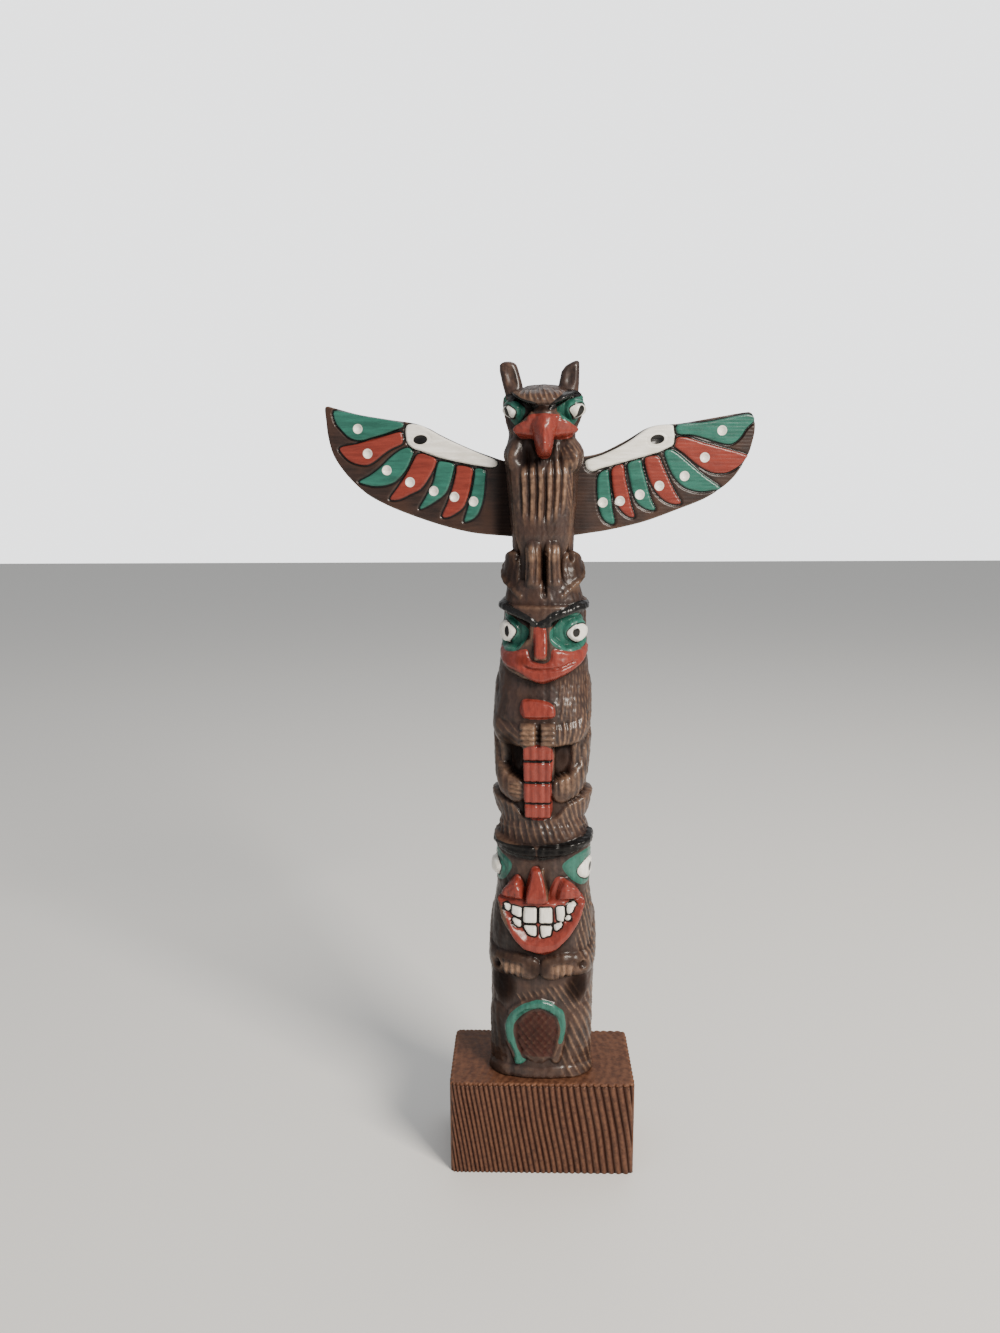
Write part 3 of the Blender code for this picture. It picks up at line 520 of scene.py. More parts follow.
# What is painted, as seen from the front: colour, how far its edge is rounded up and over how much,
# the cut round it, and its outline. Later shapes lie over earlier ones. Heights are from the table.
paintedShapes = [
    ("green", 0.25, 0.9, 0.3, [(-4.5, 35.2), (-5.7, 34), (-7.3, 33.6), (-7.8, 34.7), (-7.4, 36.7),
        (-8.5, 39.3), (-9.6, 41.7), (-10.1, 44.5), (-9.9, 46.9), (-8.6, 50), (-5.9, 53), (-3.4, 54.4),
        (-0.6, 55.1), (2.2, 54.4), (4.4, 52.5), (5.8, 51.1), (6.3, 48.5), (6.4, 46), (6, 43.5),
        (5.4, 41.2), (4.5, 41.6), (5.1, 45.2), (4.8, 47.5), (4, 49.7), (2.2, 51.1), (-0.6, 52.4),
        (-3.4, 51.6), (-5.6, 49.8), (-7.6, 47.2), (-8.1, 45.2), (-7.9, 42.8), (-7.2, 39.7), (-6.3, 37.3),
        (-5.4, 35.5)]),
    ("red", 0.3, 1.2, 0.25, [(-13.1, 87.2), (-9.5, 81.4), (-7, 74.2), (-3.6, 70.8), (0.5, 69.4),
        (3.8, 71), (7.4, 74.8), (10, 79.2), (13.4, 84.6), (12.6, 87), (11, 85.8), (3.1, 86.6),
        (-3.9, 86.6), (-11, 85.6), (-12.4, 87.6)]),
    ("red", 0.35, 1.2, 0.35, [(-12.4, 87.4), (-10.5, 90.3), (-8.4, 93), (-7, 92.9), (-5.6, 90),
        (-4.8, 85.8), (-11, 85.6)]),
    ("red", 0.35, 1.2, 0.35, [(2.4, 86), (3.2, 91), (5.2, 93), (8.8, 91), (12.4, 86.8), (11, 85.8)]),
    ("red", 0.2, 0.8, 0.3, [(-3.4, 95.2), (-0.6, 95.2), (0.9, 86.1), (-5.1, 86.1)]),
    ("green", 0, 1, 0.2, [(6.2, 95.8), (7.6, 97.8), (11.9, 99.6), (17, 100), (22, 98.6), (23, 95),
        (20, 91), (16, 89.4), (12.4, 89.8), (8.8, 92.2)]),
    ("green", 0, 1, 0.2, [(-9.6, 96.2), (-13.4, 98.6), (-18, 99.6), (-23, 98), (-23.4, 95), (-20, 91),
        (-16, 90), (-12.2, 91.6)]),
    ("white", 0.4, 0.9, 0.35, [(11.3, 94.4), (13.7, 96.4), (17.5, 97), (20.8, 96), (21.5, 94),
        (19.5, 91.8), (16.5, 90.8), (14.4, 91.2), (12.1, 92.4)]),
    ("white", 0.4, 0.9, 0.35, [(-13.4, 94.8), (-15.4, 96.6), (-18.5, 97), (-21.4, 95.6), (-21.6, 93.6),
        (-19, 91.6), (-16.2, 91.4), (-14.2, 92.8)]),
    ("black", 0.25, 0.8, 0.25, [(-1, 102.5), (3.8, 103.1), (7.7, 103.9), (13.4, 104.9), (19.6, 105.9),
        (20, 102.9), (13.7, 101.7), (6.6, 99.5), (0.2, 98.3), (-1, 98.5)]),
    ("black", 0.25, 0.8, 0.25, [(-2.4, 102.5), (-6.1, 102.9), (-14, 103.7), (-20, 104.9), (-20, 101.7),
        (-13.2, 99.7), (-5.9, 98.5), (-2.4, 98.5)]),
    ("red", 0, 1, 0, [(-5.4, 131.9), (2.7, 131.9), (2.7, 121), (2.8, 111.4), (-5.2, 111.4), (-5.5, 121)]),
    ("red", 0.3, 0.7, 0.2, [(-6.2, 145.6), (-2.9, 146.3), (2.6, 145), (2.8, 141.2), (-5.4, 141.2)]),
    ("green", 0, 1, 0.2, [(3.9, 166.8), (6.4, 169), (9.6, 170.4), (13, 170.5), (16.8, 169.4), (19.5, 167),
        (19, 162.8), (16, 161.2), (12.4, 160), (9.8, 159.8), (6.3, 160.5), (4.1, 161.3), (2.6, 162.7),
        (2.1, 164.7), (2.6, 166.2)]),
    ("green", 0, 1, 0.2, [(-5.3, 166), (-9, 168), (-14.1, 170.2), (-19.5, 170.4), (-23, 166.5),
        (-20.5, 162), (-16, 160.4), (-12, 159.8), (-8.1, 160.4), (-6, 163)]),
    ("white", 0.45, 0.9, 0.35, [(8.3, 165.2), (10.2, 166.9), (13.6, 167.5), (17, 166.6), (18.2, 165.2),
        (15.8, 163.4), (13.2, 162.2), (11.2, 162.6), (9.2, 163.6)]),
    ("white", 0.45, 0.9, 0.35, [(-9.5, 165.6), (-11.6, 167.4), (-14.4, 168.4), (-17.6, 167.4),
        (-19, 165.6), (-17, 163.2), (-13.8, 162), (-11.4, 163.2)]),
    ("red", 0.3, 1, 0.25, [(3.2, 160.6), (8, 160), (14, 160.4), (20.5, 161.4), (17.4, 158.4), (8.8, 154),
        (3.5, 151.8), (-0.2, 150.8), (-3.5, 152.2), (-6.8, 154.2), (-12, 156), (-17, 158.4), (-19, 160.8),
        (-13, 159.6), (-8.4, 160), (-5.1, 160.6), (-3.7, 157.8), (0, 156.6), (2.4, 157.8)]),
    ("red", 0.2, 0.7, 0.25, [(-2.7, 167.2), (0.6, 167.2), (1.0, 159.2), (-2.5, 159.2)]),
    ("black", 0.3, 0.8, 0.25, [(-1.6, 168.4), (0.7, 169.4), (2.6, 170.9), (6.2, 172), (10.2, 173.4),
        (14, 174), (18, 173.8), (24, 173.8), (24, 171), (19, 171), (13.8, 171.4), (9.8, 170.8),
        (6.6, 169.5), (4.3, 168.2), (2.1, 167.1), (-1.1, 167)]),
    ("black", 0.3, 0.8, 0.25, [(-2, 168.5), (-5.6, 170.7), (-12, 173.2), (-15.5, 173.9), (-24, 174),
        (-24, 172), (-19, 172.3), (-11, 170.7), (-5, 167.8), (-2.1, 167.1)]),
    ("green", 0, 1, 0.2, [(5.4, 226.7), (5.8, 228.2), (7.8, 229.6), (11.3, 231), (16, 231.8), (19.4, 231),
        (19.4, 227), (16.5, 223.8), (11.4, 222.9), (7.3, 223.8)]),
    ("green", 0, 1, 0.2, [(-7, 226.8), (-9, 229), (-12, 231), (-16, 232), (-19.6, 230.6), (-19.6, 227),
        (-16, 224), (-12.2, 223), (-9, 224.6)]),
    ("white", 0.4, 0.8, 0.35, [(9.6, 227), (10.8, 228), (12.4, 228.5), (14, 228.5), (15.6, 227.8),
        (16.2, 226.5), (15, 225.2), (12.8, 224.8), (11, 225.6)]),
    ("white", 0.4, 0.8, 0.35, [(-10.2, 226.6), (-11.4, 227.6), (-13, 228.2), (-15.2, 228), (-16.4, 226.8),
        (-15.2, 225.3), (-12.8, 224.9), (-11, 225.6)]),
    ("black", 0.2, 0.6, 0.2, [(2.8, 228.4), (5.5, 230.2), (7.8, 231.5), (11.3, 232.7), (15, 233.4),
        (18, 233.6), (18, 231.2), (14, 230.6), (10.2, 229.8), (7.8, 228.9), (5.4, 227.8), (3.4, 226.9),
        (1.6, 226.8)]),
    ("black", 0.2, 0.6, 0.2, [(-1.9, 227.4), (-2.5, 228.4), (-6.8, 229.6), (-10, 231.1), (-15, 231.8),
        (-18, 232), (-18, 230.5), (-13.5, 229.4), (-10, 229.3), (-7.8, 227.9), (-4.4, 227)]),
    ("red", 0.3, 1, 0.3, [(-4.8, 225.4), (-5.8, 224), (-8.6, 223.4), (-11.6, 222.5), (-11.9, 220.6),
        (-9.4, 219.3), (-4.9, 219.2), (-3.2, 218), (-2.8, 216), (-1.5, 214.2), (0.4, 213.7), (2.4, 214.2),
        (3.5, 216), (4.1, 218), (4.6, 219), (8, 219), (11.5, 219.5), (14.2, 220.4), (14.5, 222.2),
        (11.6, 223), (8, 224), (5.4, 224.4), (4.6, 225.4)]),
]
# The teeth, as the middles that toothGrow is added round
teeth = [
    [(-4.6, 83.9), (-2.1, 83.9), (-2.1, 80.3), (-4.6, 80.3)],
    [(-0.3, 83.9), (2.2, 83.9), (2.2, 80.3), (-0.3, 80.3)],
    [(-4.3, 78.5), (-2.1, 78.5), (-2.1, 76.4), (-3.3, 76.8)],
    [(0, 78.5), (2.1, 78.5), (1.8, 76.6), (0.2, 76.2)],
    [(4.4, 84.2), (5.6, 84.2), (5.6, 82.4), (5.2, 80.6), (4.5, 81)],
    [(7.3, 84.8), (8.8, 85.2), (8, 83.2), (7.3, 82.8)],
    [(3.6, 79), (4.8, 79.4), (4.6, 78.7), (3.8, 78.1)], [(6.7, 80.9), (7.1, 81.4), (7, 80.9)],
    [(-7.9, 84), (-6.2, 83.7), (-6.1, 81.8), (-7.8, 82.4)],
    [(-10, 84.4), (-9.4, 84.2), (-9.4, 83.2), (-9.9, 83.5)],
    [(-7.4, 80.4), (-6.2, 79.9), (-6.1, 78.9), (-6.9, 79.4)],
]
pupils = [
    ((17, 94.2), (1.6, 1.5)), ((-19.4, 94.2), (1.9, 1.7)), ((10.9, 165.2), (1.25, 1.35)),
    ((-12.2, 165.4), (0.8, 1.7)), ((12.9, 226.5), (1.1, 1.7)), ((-13.4, 226.6), (0.9, 1.6)),
]
# Cuts: half width, height, how far from its ends each fades, and the lines that are cut like that
strokes = [
    (0.6, -0.8, 2, [[(-6.6, 156.3), (-4.7, 155.6), (-3.2, 155.1), (-0.7, 154.9), (2, 155), (5.2, 155.5),
                     (8.3, 156.6), (11, 157.4)]]),
    (0.45, -0.4, 0, [[(-5, 87.2), (-6, 90.2), (-7.8, 90.6), (-9.6, 88.6), (-9.4, 87), (-8.2, 86.9),
                      (-7.6, 88.2)]]),
    (0.45, -0.35, 0, [[(5.4, 87.2), (6.2, 90.2), (7.8, 90.2), (9.2, 87.8)]]),
    (1.0, -0.8, 5, [[(-6.2, 195.4), (-5.5, 204), (-6.0, 218)]]),
    (0.9, -0.8, 5, [[(-3, 195), (-2.3, 204), (-2.8, 216)], [(3.7, 196), (4.3, 204), (3.8, 217)]]),
    (0.95, -0.8, 4, [[(0.5, 195), (1.1, 203), (0.6, 212)]]),
    (0.8, -0.7, 5, [[(6.6, 197.4), (7.1, 205), (6.6, 218)]]),
    (0.9, -0.6, 4, [[(-9, 196.4), (-8.6, 203), (-8.9, 212)]]),
    (1.3, -1.4, 1, [[(1.2, 187.4), (0.6, 182), (0.4, 176)]]),
    (0.8, -0.6, 3, [[(-6.2, 178), (-6, 185), (-6.8, 190)], [(-3.4, 178), (-3.2, 186), (-4, 191)]]),
    (0.7, -0.6, 3, [[(3.2, 178), (3.1, 187), (3.6, 192)]]),
    (0.7, -0.55, 3, [[(5.6, 178), (5.5, 186), (6, 191)]]),
    (0.5, -0.5, 0, [
        [(-9.8, 120.7), (-6.6, 120.5)], [(-9.8, 119.4), (-6.6, 119.2)], [(-9.8, 118.1), (-6.6, 117.9)],
        [(4.6, 123.2), (4.9, 118)], [(6.5, 123.6), (6.7, 118)], [(8.3, 123.8), (8.6, 118.4)]]),
    (0.5, -0.6, 0, [
        [(-10.5, 62.8), (-10.4, 67)], [(-8.9, 62.6), (-8.8, 67)], [(-7.3, 62.4), (-7.2, 66.8)],
        [(-5.7, 62.4), (-5.6, 66.6)], [(6.3, 62.4), (6.4, 66.8)], [(8.2, 62.8), (8.4, 67.2)]]),
    (0.45, -0.55, 0, [[(3.3, 62.4), (3.3, 66.4)], [(4.7, 62.4), (4.8, 66.6)]]),
]
staffRings = [(-5.4, 128.3, 0.32), (-5.4, 121.9, 0.32), (-5.3, 115.6, 0.3)]  # left end, height, half width
# Where raised carving is lightened to a warm tan, partly rubbed stain and partly painted highlight: middle,
# half sizes, how much
rubsAndHighlights = [
    ((-3.6, 136.2), (2.2, 3.6), 0.8), ((1.7, 136.2), (2.0, 3.6), 0.35), ((-8.2, 64.8), (3.8, 1.8), 0.8),
    ((5.4, 65), (3.4, 1.8), 0.8), ((-8.2, 119.4), (2.0, 2.4), 0.6), ((7.6, 121), (2.6, 3), 0.5),
    ((-5, 187.4), (3, 2.4), 0.5), ((4.4, 187.6), (3, 2.4), 0.5), ((13.6, 178), (5.4, 1.8), 0.4),
]
# The chest's ridges, lightened along their tops as a painted highlight: middle, from what height, to what
# height
ridges = [(-7.4, 197.5, 210), (-4.2, 197, 211), (-1, 196.6, 210), (2.5, 197, 211), (5.3, 198, 213),
          (8.2, 200, 214)]
# Painted shade: dark patches under the beak and brows, in recesses, down the shaded left side and on the ears,
# that darken the colour and dull the lacquer there: middle, half sizes, how much
shadeSpots = [
    ((-1.2, 227.1), (4.8, 1.0), 0.8), ((-5.8, 214.4), (3.4, 3.6), 0.85), ((-6, 157.6), (2.4, 1.8), 0.7),
    ((9.8, 66.4), (1.0, 1.1), 0.8), ((-12.3, 65), (1.0, 1.2), 0.8), ((0.7, 181), (1.2, 6), 0.7),
    ((-10, 130), (3.8, 6.6), 1), ((6.8, 129), (2.8, 4.8), 0.7), ((-12, 58.4), (5.2, 6.8), 1),
    ((-14, 42), (5, 15), 0.6), ((-14.5, 77), (4.5, 10), 0.6), ((10.2, 58.4), (4.2, 5.8), 0.95),
    ((-6.6, 70), (4, 2.2), 0.5), ((6, 70.4), (4, 2), 0.4), ((-1.4, 44), (6.5, 8.5), 0.45),
    ((-9, 68), (6, 1.6), 0.5), ((6.5, 68.2), (6, 1.6), 0.45), ((-1.2, 66), (3.4, 3), 0.6),
    ((14, 181), (6, 9), 0.5), ((-14, 181), (6, 9), 0.5), ((0, 102.5), (21, 3.8), 0.5),
    ((-1, 136.4), (0.8, 3.6), 0.8), ((-1, 64.4), (2.6, 2), 0.6),
]
# Knife cuts on the stained parts: outline, lean of the cuts from upright in degrees, pitch, depth, how much
# their ridge tops are lightened, as wear and as painted highlight, more on the lit right side. A lean given
# as a point makes them a fan about it, with that pitch fanReach out from it.
fanReach = 18
knifeFields = [
    ([(-42, 28), (42, 28), (42, 240), (-42, 240)], 0, 2.2, 0.32, 0.15),
    ([(-21, 28), (21, 28), (21, 240), (-21, 240)], 0, 2.6, 0.08, 0.0),
    ([(6, 30), (22, 30), (22, 60), (14, 56), (8, 50), (7, 44), (4.6, 36)], -24, 2.0, 0.55, 0.6),
    ([(-22, 30), (-9.6, 34), (-11, 46), (-14, 54), (-22, 60)], -8, 2.2, 0.28, 0.15),
    ([(-9, 56), (-2, 58), (9, 61), (12, 52), (8, 50), (5, 54), (0, 56.4), (-6, 54)], -30, 1.7, 0.45, 0.6),
    ([(-20, 105.6), (-14, 104.6), (-3, 103.4), (3, 103.4), (13, 105.6), (20, 106.6), (20, 110.4), (-20, 110.4)],
     -20, 1.9, 0.4, 0.4),
    ([(-22, 109), (-6, 109), (-12, 119), (-22, 119)], -12, 1.7, 0.4, 0.4),
    ([(22, 109), (5, 109), (10, 119), (22, 119)], -20, 1.7, 0.45, 0.6),
    ([(6, 173), (21, 175), (21, 191), (8, 191)], 0, 2.6, 0.08, 0.1),
    ([(-7, 173), (-21, 175), (-21, 191), (-9, 191)], 0, 2.6, 0.08, 0.1),
    ([(4, 139.8), (20, 141), (21, 157), (12, 155.4), (4, 151)], 8, 1.3, 0.26, 0.45),
    ([(3.6, 132.8), (3.6, 139.6), (19, 143), (20, 134), (10, 133)], (6, 120), 1.5, 0.5, 0.8),
    ([(-5.8, 132.4), (-5.8, 140), (-13, 141), (-14, 134.4)], -50, 1.6, 0.2, 0.2),
    ([(9.6, 134), (12.2, 134), (12.4, 125), (9.8, 125)], 0, 1.2, 0.35, 0.8),
    ([(-13.2, 134), (-10.8, 134), (-10.8, 125), (-13.2, 125)], 0, 1.2, 0.3, 0.6),
    ([(-13, 132), (-22, 134), (-22, 112), (-10, 116), (-9, 124)], 0, 2.0, 0.28, 0.2),
    ([(10, 132), (22, 134), (22, 112), (10, 116)], -8, 2.0, 0.4, 0.5),
    ([(20, 60), (10, 68), (9, 73), (11.6, 80), (14.6, 88), (20, 90)], -14, 1.6, 0.5, 0.8),
    ([(6, 217), (13, 218.6), (14.4, 206), (10, 199), (8.4, 206)], -20, 1.3, 0.3, 0.5),
    ([(-9, 229.8), (-3, 228.8), (3, 229), (9, 231.6), (9, 236), (-9, 236)], -20, 1.7, 0.3, 0.6),
]


def cutFields(relief, seen, level, bare):
    crest = np.zeros(np.shape(relief))
    cuts = np.zeros(np.shape(relief))
    for number, (outline, lean, pitch, depth, wornAndLit) in enumerate(knifeFields):
        mask = ease(insideBy(seen, level, outline), -0.4, 1.0)
        if isinstance(lean, tuple):
            x, z = seen - lean[0], level - lean[1]
            run, along = fanReach * np.arctan2(x, z), np.hypot(x, z)
        else:
            tilt = math.radians(lean)
            run = seen * math.cos(tilt) - level * math.sin(tilt)
            along = seen * math.sin(tilt) + level * math.cos(tilt)
        cut = gouge(run, along, pitch, number + 1)
        cuts = cuts * (1 - mask) + depth * cut * mask
        crest = crest * (1 - mask) + wornAndLit * ease(cut, -0.45, -0.02) * mask
    return relief + cuts * bare, crest * bare


def carved(across, up):
    relief = np.zeros(np.shape(across))
    for form in (lowerBody, lowerFace, middleBody, lowerBrow, staff, middleFace, middleEars, birdBody,
                 birdHead):
        relief = form(relief, across, up)
    seen = across + tableValue(pole["sway"], up)  # as marked out, before the sway
    level = pole["foot"] + up * pole["height"] / pole["crown"]
    paint = emptyPaint(across)
    for colour, rise, over, cut, outline in paintedShapes:
        distance = insideBy(seen, level, rounded(outline))
        relief = relief + rise * roundOver(distance, over) - cut * ease(np.abs(distance), 0.5, 0.05)
        if colour == "white":
            layPaint(paint, "black", distance + pole["whiteLine"])
        layPaint(paint, colour, distance)
    facets = ease(paint["black"], 0, 0.5) * (between(level, 166, 176, 1) + between(level, 98, 106.5, 1))
    relief = relief + pole["facetDepth"] * facets * gouge(seen, level, pole["facetPitch"], 31)
    biting = np.max([insideBy(seen, level, outline) for outline in teeth], axis=0) + pole["toothGrow"]
    relief = relief + pole["toothRise"] * roundOver(biting, 0.8) - 0.4 * ease(np.abs(biting + 0.2), 0.4, 0.1)
    layPaint(paint, "black", biting + pole["toothLine"])
    layPaint(paint, "white", biting)
    for (x, z), (wide, high) in pupils:
        reach = np.hypot((seen - x) / wide, (level - z) / high)
        relief = relief - 0.12 * ease(reach, 1.2, 0.9)
        layPaint(paint, "black", (1 - reach) * min(wide, high))
    for halfWidth, height, fade, lines in strokes:
        for points in lines:
            cut = height * ease(lineDistance(seen, level, points), halfWidth, halfWidth * 0.15)
            if fade:
                toEnd = np.minimum(*[np.hypot(seen - x, level - z) for x, z in (points[0], points[-1])])
                cut = cut * ease(toEnd, 0, fade)
            relief = relief + cut
    for left, height, halfWidth in staffRings:
        ring = lineDistance(seen, level, [(left, height), (pole["staffRight"], height)])
        layPaint(paint, "black", halfWidth - ring)
    tail = insideBy(seen, level, [(-6.4, 37), (-7.4, 42), (-7.4, 46), (-3.4, 51), (0, 51.8), (3.6, 49.2),
                                  (4.6, 45), (4, 41), (3.2, 36.6)])
    hatch = ease(tail, -0.2, 0.5)
    for lean in pole["hatchLeans"]:
        tilt = math.radians(lean)
        run = seen * math.cos(tilt) - level * math.sin(tilt)
        relief = relief + pole["hatchDepth"] * hatch * gouge(run, level, pole["hatchPitch"], lean)
    bare = ease(np.max([*paint.values()], axis=0), 0.1, -0.5) * (1 - hatch) * ease(up, 204.6, 203)
    relief, crest = cutFields(relief, seen, level, bare)
    relief = relief + 0.07 * wander(seen * 1.9, level * 1.3, 5) + 0.05 * wander(seen * 3.3, level * 2.9, 8)
    for x, low, high in ridges:
        off = np.abs(seen - x - 0.05 * (level - 204))
        crest = np.maximum(crest, 0.75 * ease(off, 1.0, 0.1) * between(level, low, high, 5))
    # the tan spots are rubbed wear with painted highlight, and the dark spots are painted shade
    spotShade = np.zeros(np.shape(across))
    for table, into in ((rubsAndHighlights, crest), (shadeSpots, spotShade)):
        for middle, halfSize, amount in table:
            np.maximum(into, amount * dome(seen, level, middle, halfSize), out=into)
    return relief, paint, crest, spotShade, ease(tail, -0.3, 0.3)


def tableValue(table, up):
    heights, values = zip(*table)
    return np.mean([np.interp(up + step, heights, values) for step in np.linspace(-1.5, 1.5, 7)], axis=0)


def sectionTable():
    angle = np.linspace(-np.pi, np.pi, 1441)
    sine, cosine = np.sin(angle), np.cos(angle)
    depth = np.where(cosine > 0, pole["frontDepth"], pole["backDepth"]) / (pole["width"] / 2)
    x = np.sign(sine) * np.abs(sine) ** (2 / pole["sectionPower"])
    y = -np.sign(cosine) * np.abs(cosine) ** (2 / pole["sectionPower"]) * depth
    run = np.concatenate([[0], np.cumsum(np.hypot(np.diff(x), np.diff(y)))])
    tangent = np.stack([np.gradient(x), np.gradient(y)])
    tangent[:, [0, -1]] = tangent[:, [1, -2]].mean(axis=1, keepdims=True)
    normal = np.stack([tangent[1], -tangent[0]])
    return run / run[-1] * 2 - 1, x, y, normal / np.hypot(*normal)


def onPole(across, up, relief):
    share, x, y, normal = sectionTable()
    turn = across / pole["halfGirth"]
    outX, outY = np.interp(turn, share, normal[0]), np.interp(turn, share, normal[1])
    shrink = 1 / np.maximum(np.hypot(outX, outY), 1e-6)
    halfWidth = tableValue(pole["core"], up)
    return np.stack([
        tableValue(pole["sway"], up) + halfWidth * np.interp(turn, share, x) + relief * outX * shrink,
        halfWidth * np.interp(turn, share, y) + relief * outY * shrink,
        pole["foot"] + up * pole["height"] / pole["crown"] - pole["crownDrop"] * ease(up, 202, 205.5),
    ], axis=-1) * mm


def softened(grid, steps):  # a blur over the grid of rows and columns, joined round the pole
    for _ in range(steps):
        grid = (np.roll(grid, 1, 1) + np.roll(grid, -1, 1) + 2 * grid) / 4
        padded = np.pad(grid, ((1, 1), (0, 0)), mode="edge")
        grid = (padded[:-2] + padded[2:] + 2 * grid) / 4
    return grid


def makePole():
    clearSelection()
    bpy.ops.mesh.primitive_cylinder_add(vertices=pole["columns"], radius=pole["width"] / 2 * mm,
                                        depth=pole["height"] * mm,
                                        location=(0, 0, (pole["foot"] + pole["height"] / 2) * mm))
    piece = justMade("carved-pole")
    bpy.ops.object.mode_set(mode="EDIT")
    cutAlong(piece, 2, pole["rowCuts"])
    bpy.ops.object.mode_set(mode="OBJECT")
    start = places(piece)
    rows = (pole["rowCuts"][0] + 1) * (pole["rowCuts"][1] + 1)
    row = np.rint((start[:, 2] / mm - pole["foot"]) / pole["height"] * rows).astype(int)
    turn = np.arctan2(start[:, 0], -start[:, 1]) / math.pi
    column = np.rint((turn + 1) / 2 * pole["columns"]).astype(int) % pole["columns"]
    turnOf = np.zeros(pole["columns"])
    turnOf[column] = turn
    acrossOf = pole["halfGirth"] * turnOf * (pole["crowding"] + (1 - pole["crowding"]) * np.abs(turnOf))
    even = np.linspace(0, 1, rows + 1)
    upOf = pole["crown"] * (even + 0.02 * np.sin(math.pi * even) * even)
    across, up = np.meshgrid(acrossOf, upOf)
    relief, paint, crest, spotShade, ruddy = carved(across, up)
    place(piece, onPole(across, up, relief)[row, column])
    # Convex edges are tanned as rubbed wear with painted highlight; recesses and the shade spots are darkened
    # as painted shade
    wornAndLit = np.clip((relief - softened(relief, 10)) / pole["wearAndLightDepth"], 0, 1)
    deep = np.clip((softened(relief, 40) - relief) / pole["hollowDepth"], 0, 1)
    values = {name: np.clip(paint[name], -2, 2) for name in paint}
    values["crest"] = np.clip(0.8 * crest + 0.25 * wornAndLit, 0, 1)
    values["hollow"] = np.maximum(deep, spotShade)
    values["ruddy"] = ruddy
    values["onPole"] = np.ones(np.shape(relief))
    giveValues(piece, {name: grid[row, column] for name, grid in values.items()})
    return piece


def closeEnds(piece):  # the crown is rounded over in rings, and the foot stays flat
    top = places(piece)[:, 2].max()
    bpy.context.view_layer.objects.active = piece
    piece.select_set(True)
    bpy.ops.object.mode_set(mode="EDIT")
    pick(piece, "faces", lambda face: len(face.verts) > 20 and face.calc_center_median().z > top - mm)
    for size, rise in ((0.8, 0.15), (0.66, 0.1), (0.5, 0.05)):
        bpy.ops.mesh.extrude_region_move(TRANSFORM_OT_translate={"value": (0, 0, rise * mm)})
        bpy.ops.transform.resize(value=(size, size, 1))
    bpy.ops.object.mode_set(mode="OBJECT")


# The two horns on the bird's crown: height, then where it starts and ends across and its depth
horns = {
    "left": [
        (230.4, -10.4, -5.0, 4.6), (231.5, -10.5, -5.2, 4.6), (234.5, -11.3, -5.7, 4.5),
        (238, -12.1, -6.7, 4.2), (239.7, -12.1, -7.3, 3.5), (240.3, -11.5, -8.0, 2.4),
        (240.6, -10.6, -9.0, 0.9)],
    "right": [
        (230.4, 3.4, 9.9, 4.6), (231.5, 3.7, 10.0, 4.6), (234.5, 4.5, 10.2, 4.5), (237.8, 5.2, 10.25, 4.2),
        (239.4, 6.4, 10.25, 3.5), (240.3, 8.0, 10.2, 2.2), (240.7, 9.0, 9.9, 0.8)],
}


def makeHorn(side, sections):
    clearSelection()
    bpy.ops.mesh.primitive_cylinder_add(vertices=28, radius=1, depth=1, location=(0, 0, 0.5))
    piece = justMade("horn-" + side)
    bpy.ops.object.mode_set(mode="EDIT")
    cutAlong(piece, 2, (23,))
    pick(piece, "faces", lambda face: len(face.verts) > 20 and face.calc_center_median().z > 0.9)
    for size in (0.66, 0.5):
        bpy.ops.mesh.extrude_region_move()
        bpy.ops.transform.resize(value=(size, size, 1))
    bpy.ops.object.mode_set(mode="OBJECT")
    start = places(piece)
    heights, first, last, deep = np.array(sections).T
    share = 1 - (1 - start[:, 2]) ** 1.6
    z = heights[0] + share * (heights[-1] - heights[0])
    low, high = np.interp(z, heights, first), np.interp(z, heights, last)
    depth = np.interp(z, heights, deep)
    cup = 0.8 * ease(np.abs(start[:, 0]), 0.6, 0.15) * ease(start[:, 1], -0.2, -0.7)
    cup = cup * between(share, 0.35, 0.8, 0.3)
    x = (low + high) / 2 + start[:, 0] * (high - low) / 2
    y = -1.2 + start[:, 1] * depth / 2 + cup
    place(piece, np.stack([x, y, z], axis=-1) * mm)
    return piece


# The wing boards. The outline is in shares of the reach, as the CAD's is, and the rest is in mm.
wing = {
    "reach": 63.8, "root": 6.92, "thickness": 3.4, "edge": 0.7, "columns": 210, "rows": 116,
    "backSet": 1.2, "top": 214.45, "sweep": math.radians(6),
    "rise": {"left": math.radians(1.2), "right": math.radians(-1.2)},
    "outline": {
        "left": [
            (0.0, -0.022), (0.072, -0.017), (0.153, 0.005), (0.23, 0.028), (0.318, 0.06), (0.406, 0.096),
            (0.467, 0.124), (0.538, 0.144), (0.67, 0.16), (0.819, 0.18), (0.947, 0.208), (0.986, 0.216),
            (1.0, 0.204), (0.995, 0.157), (0.984, 0.078), (0.954, -0.008), (0.887, -0.091), (0.796, -0.166),
            (0.706, -0.212), (0.582, -0.257), (0.406, -0.307), (0.23, -0.342), (0.054, -0.354), (0.0, -0.355)],
        "right": [
            (0.0, 0.0), (0.089, 0.008), (0.151, 0.019), (0.212, 0.039), (0.316, 0.089), (0.4, 0.135),
            (0.467, 0.152), (0.573, 0.161), (0.747, 0.19), (0.894, 0.215), (0.933, 0.215), (0.952, 0.194),
            (0.959, 0.146), (0.951, 0.094), (0.928, 0.023), (0.872, -0.061), (0.805, -0.119), (0.715, -0.171),
            (0.585, -0.219), (0.406, -0.279), (0.23, -0.318), (0.12, -0.335), (0.0, -0.352)],
    },
    "cut": 0.4, "line": 0.34, "dimple": 1.4, "dimpleDepth": 0.6,
}
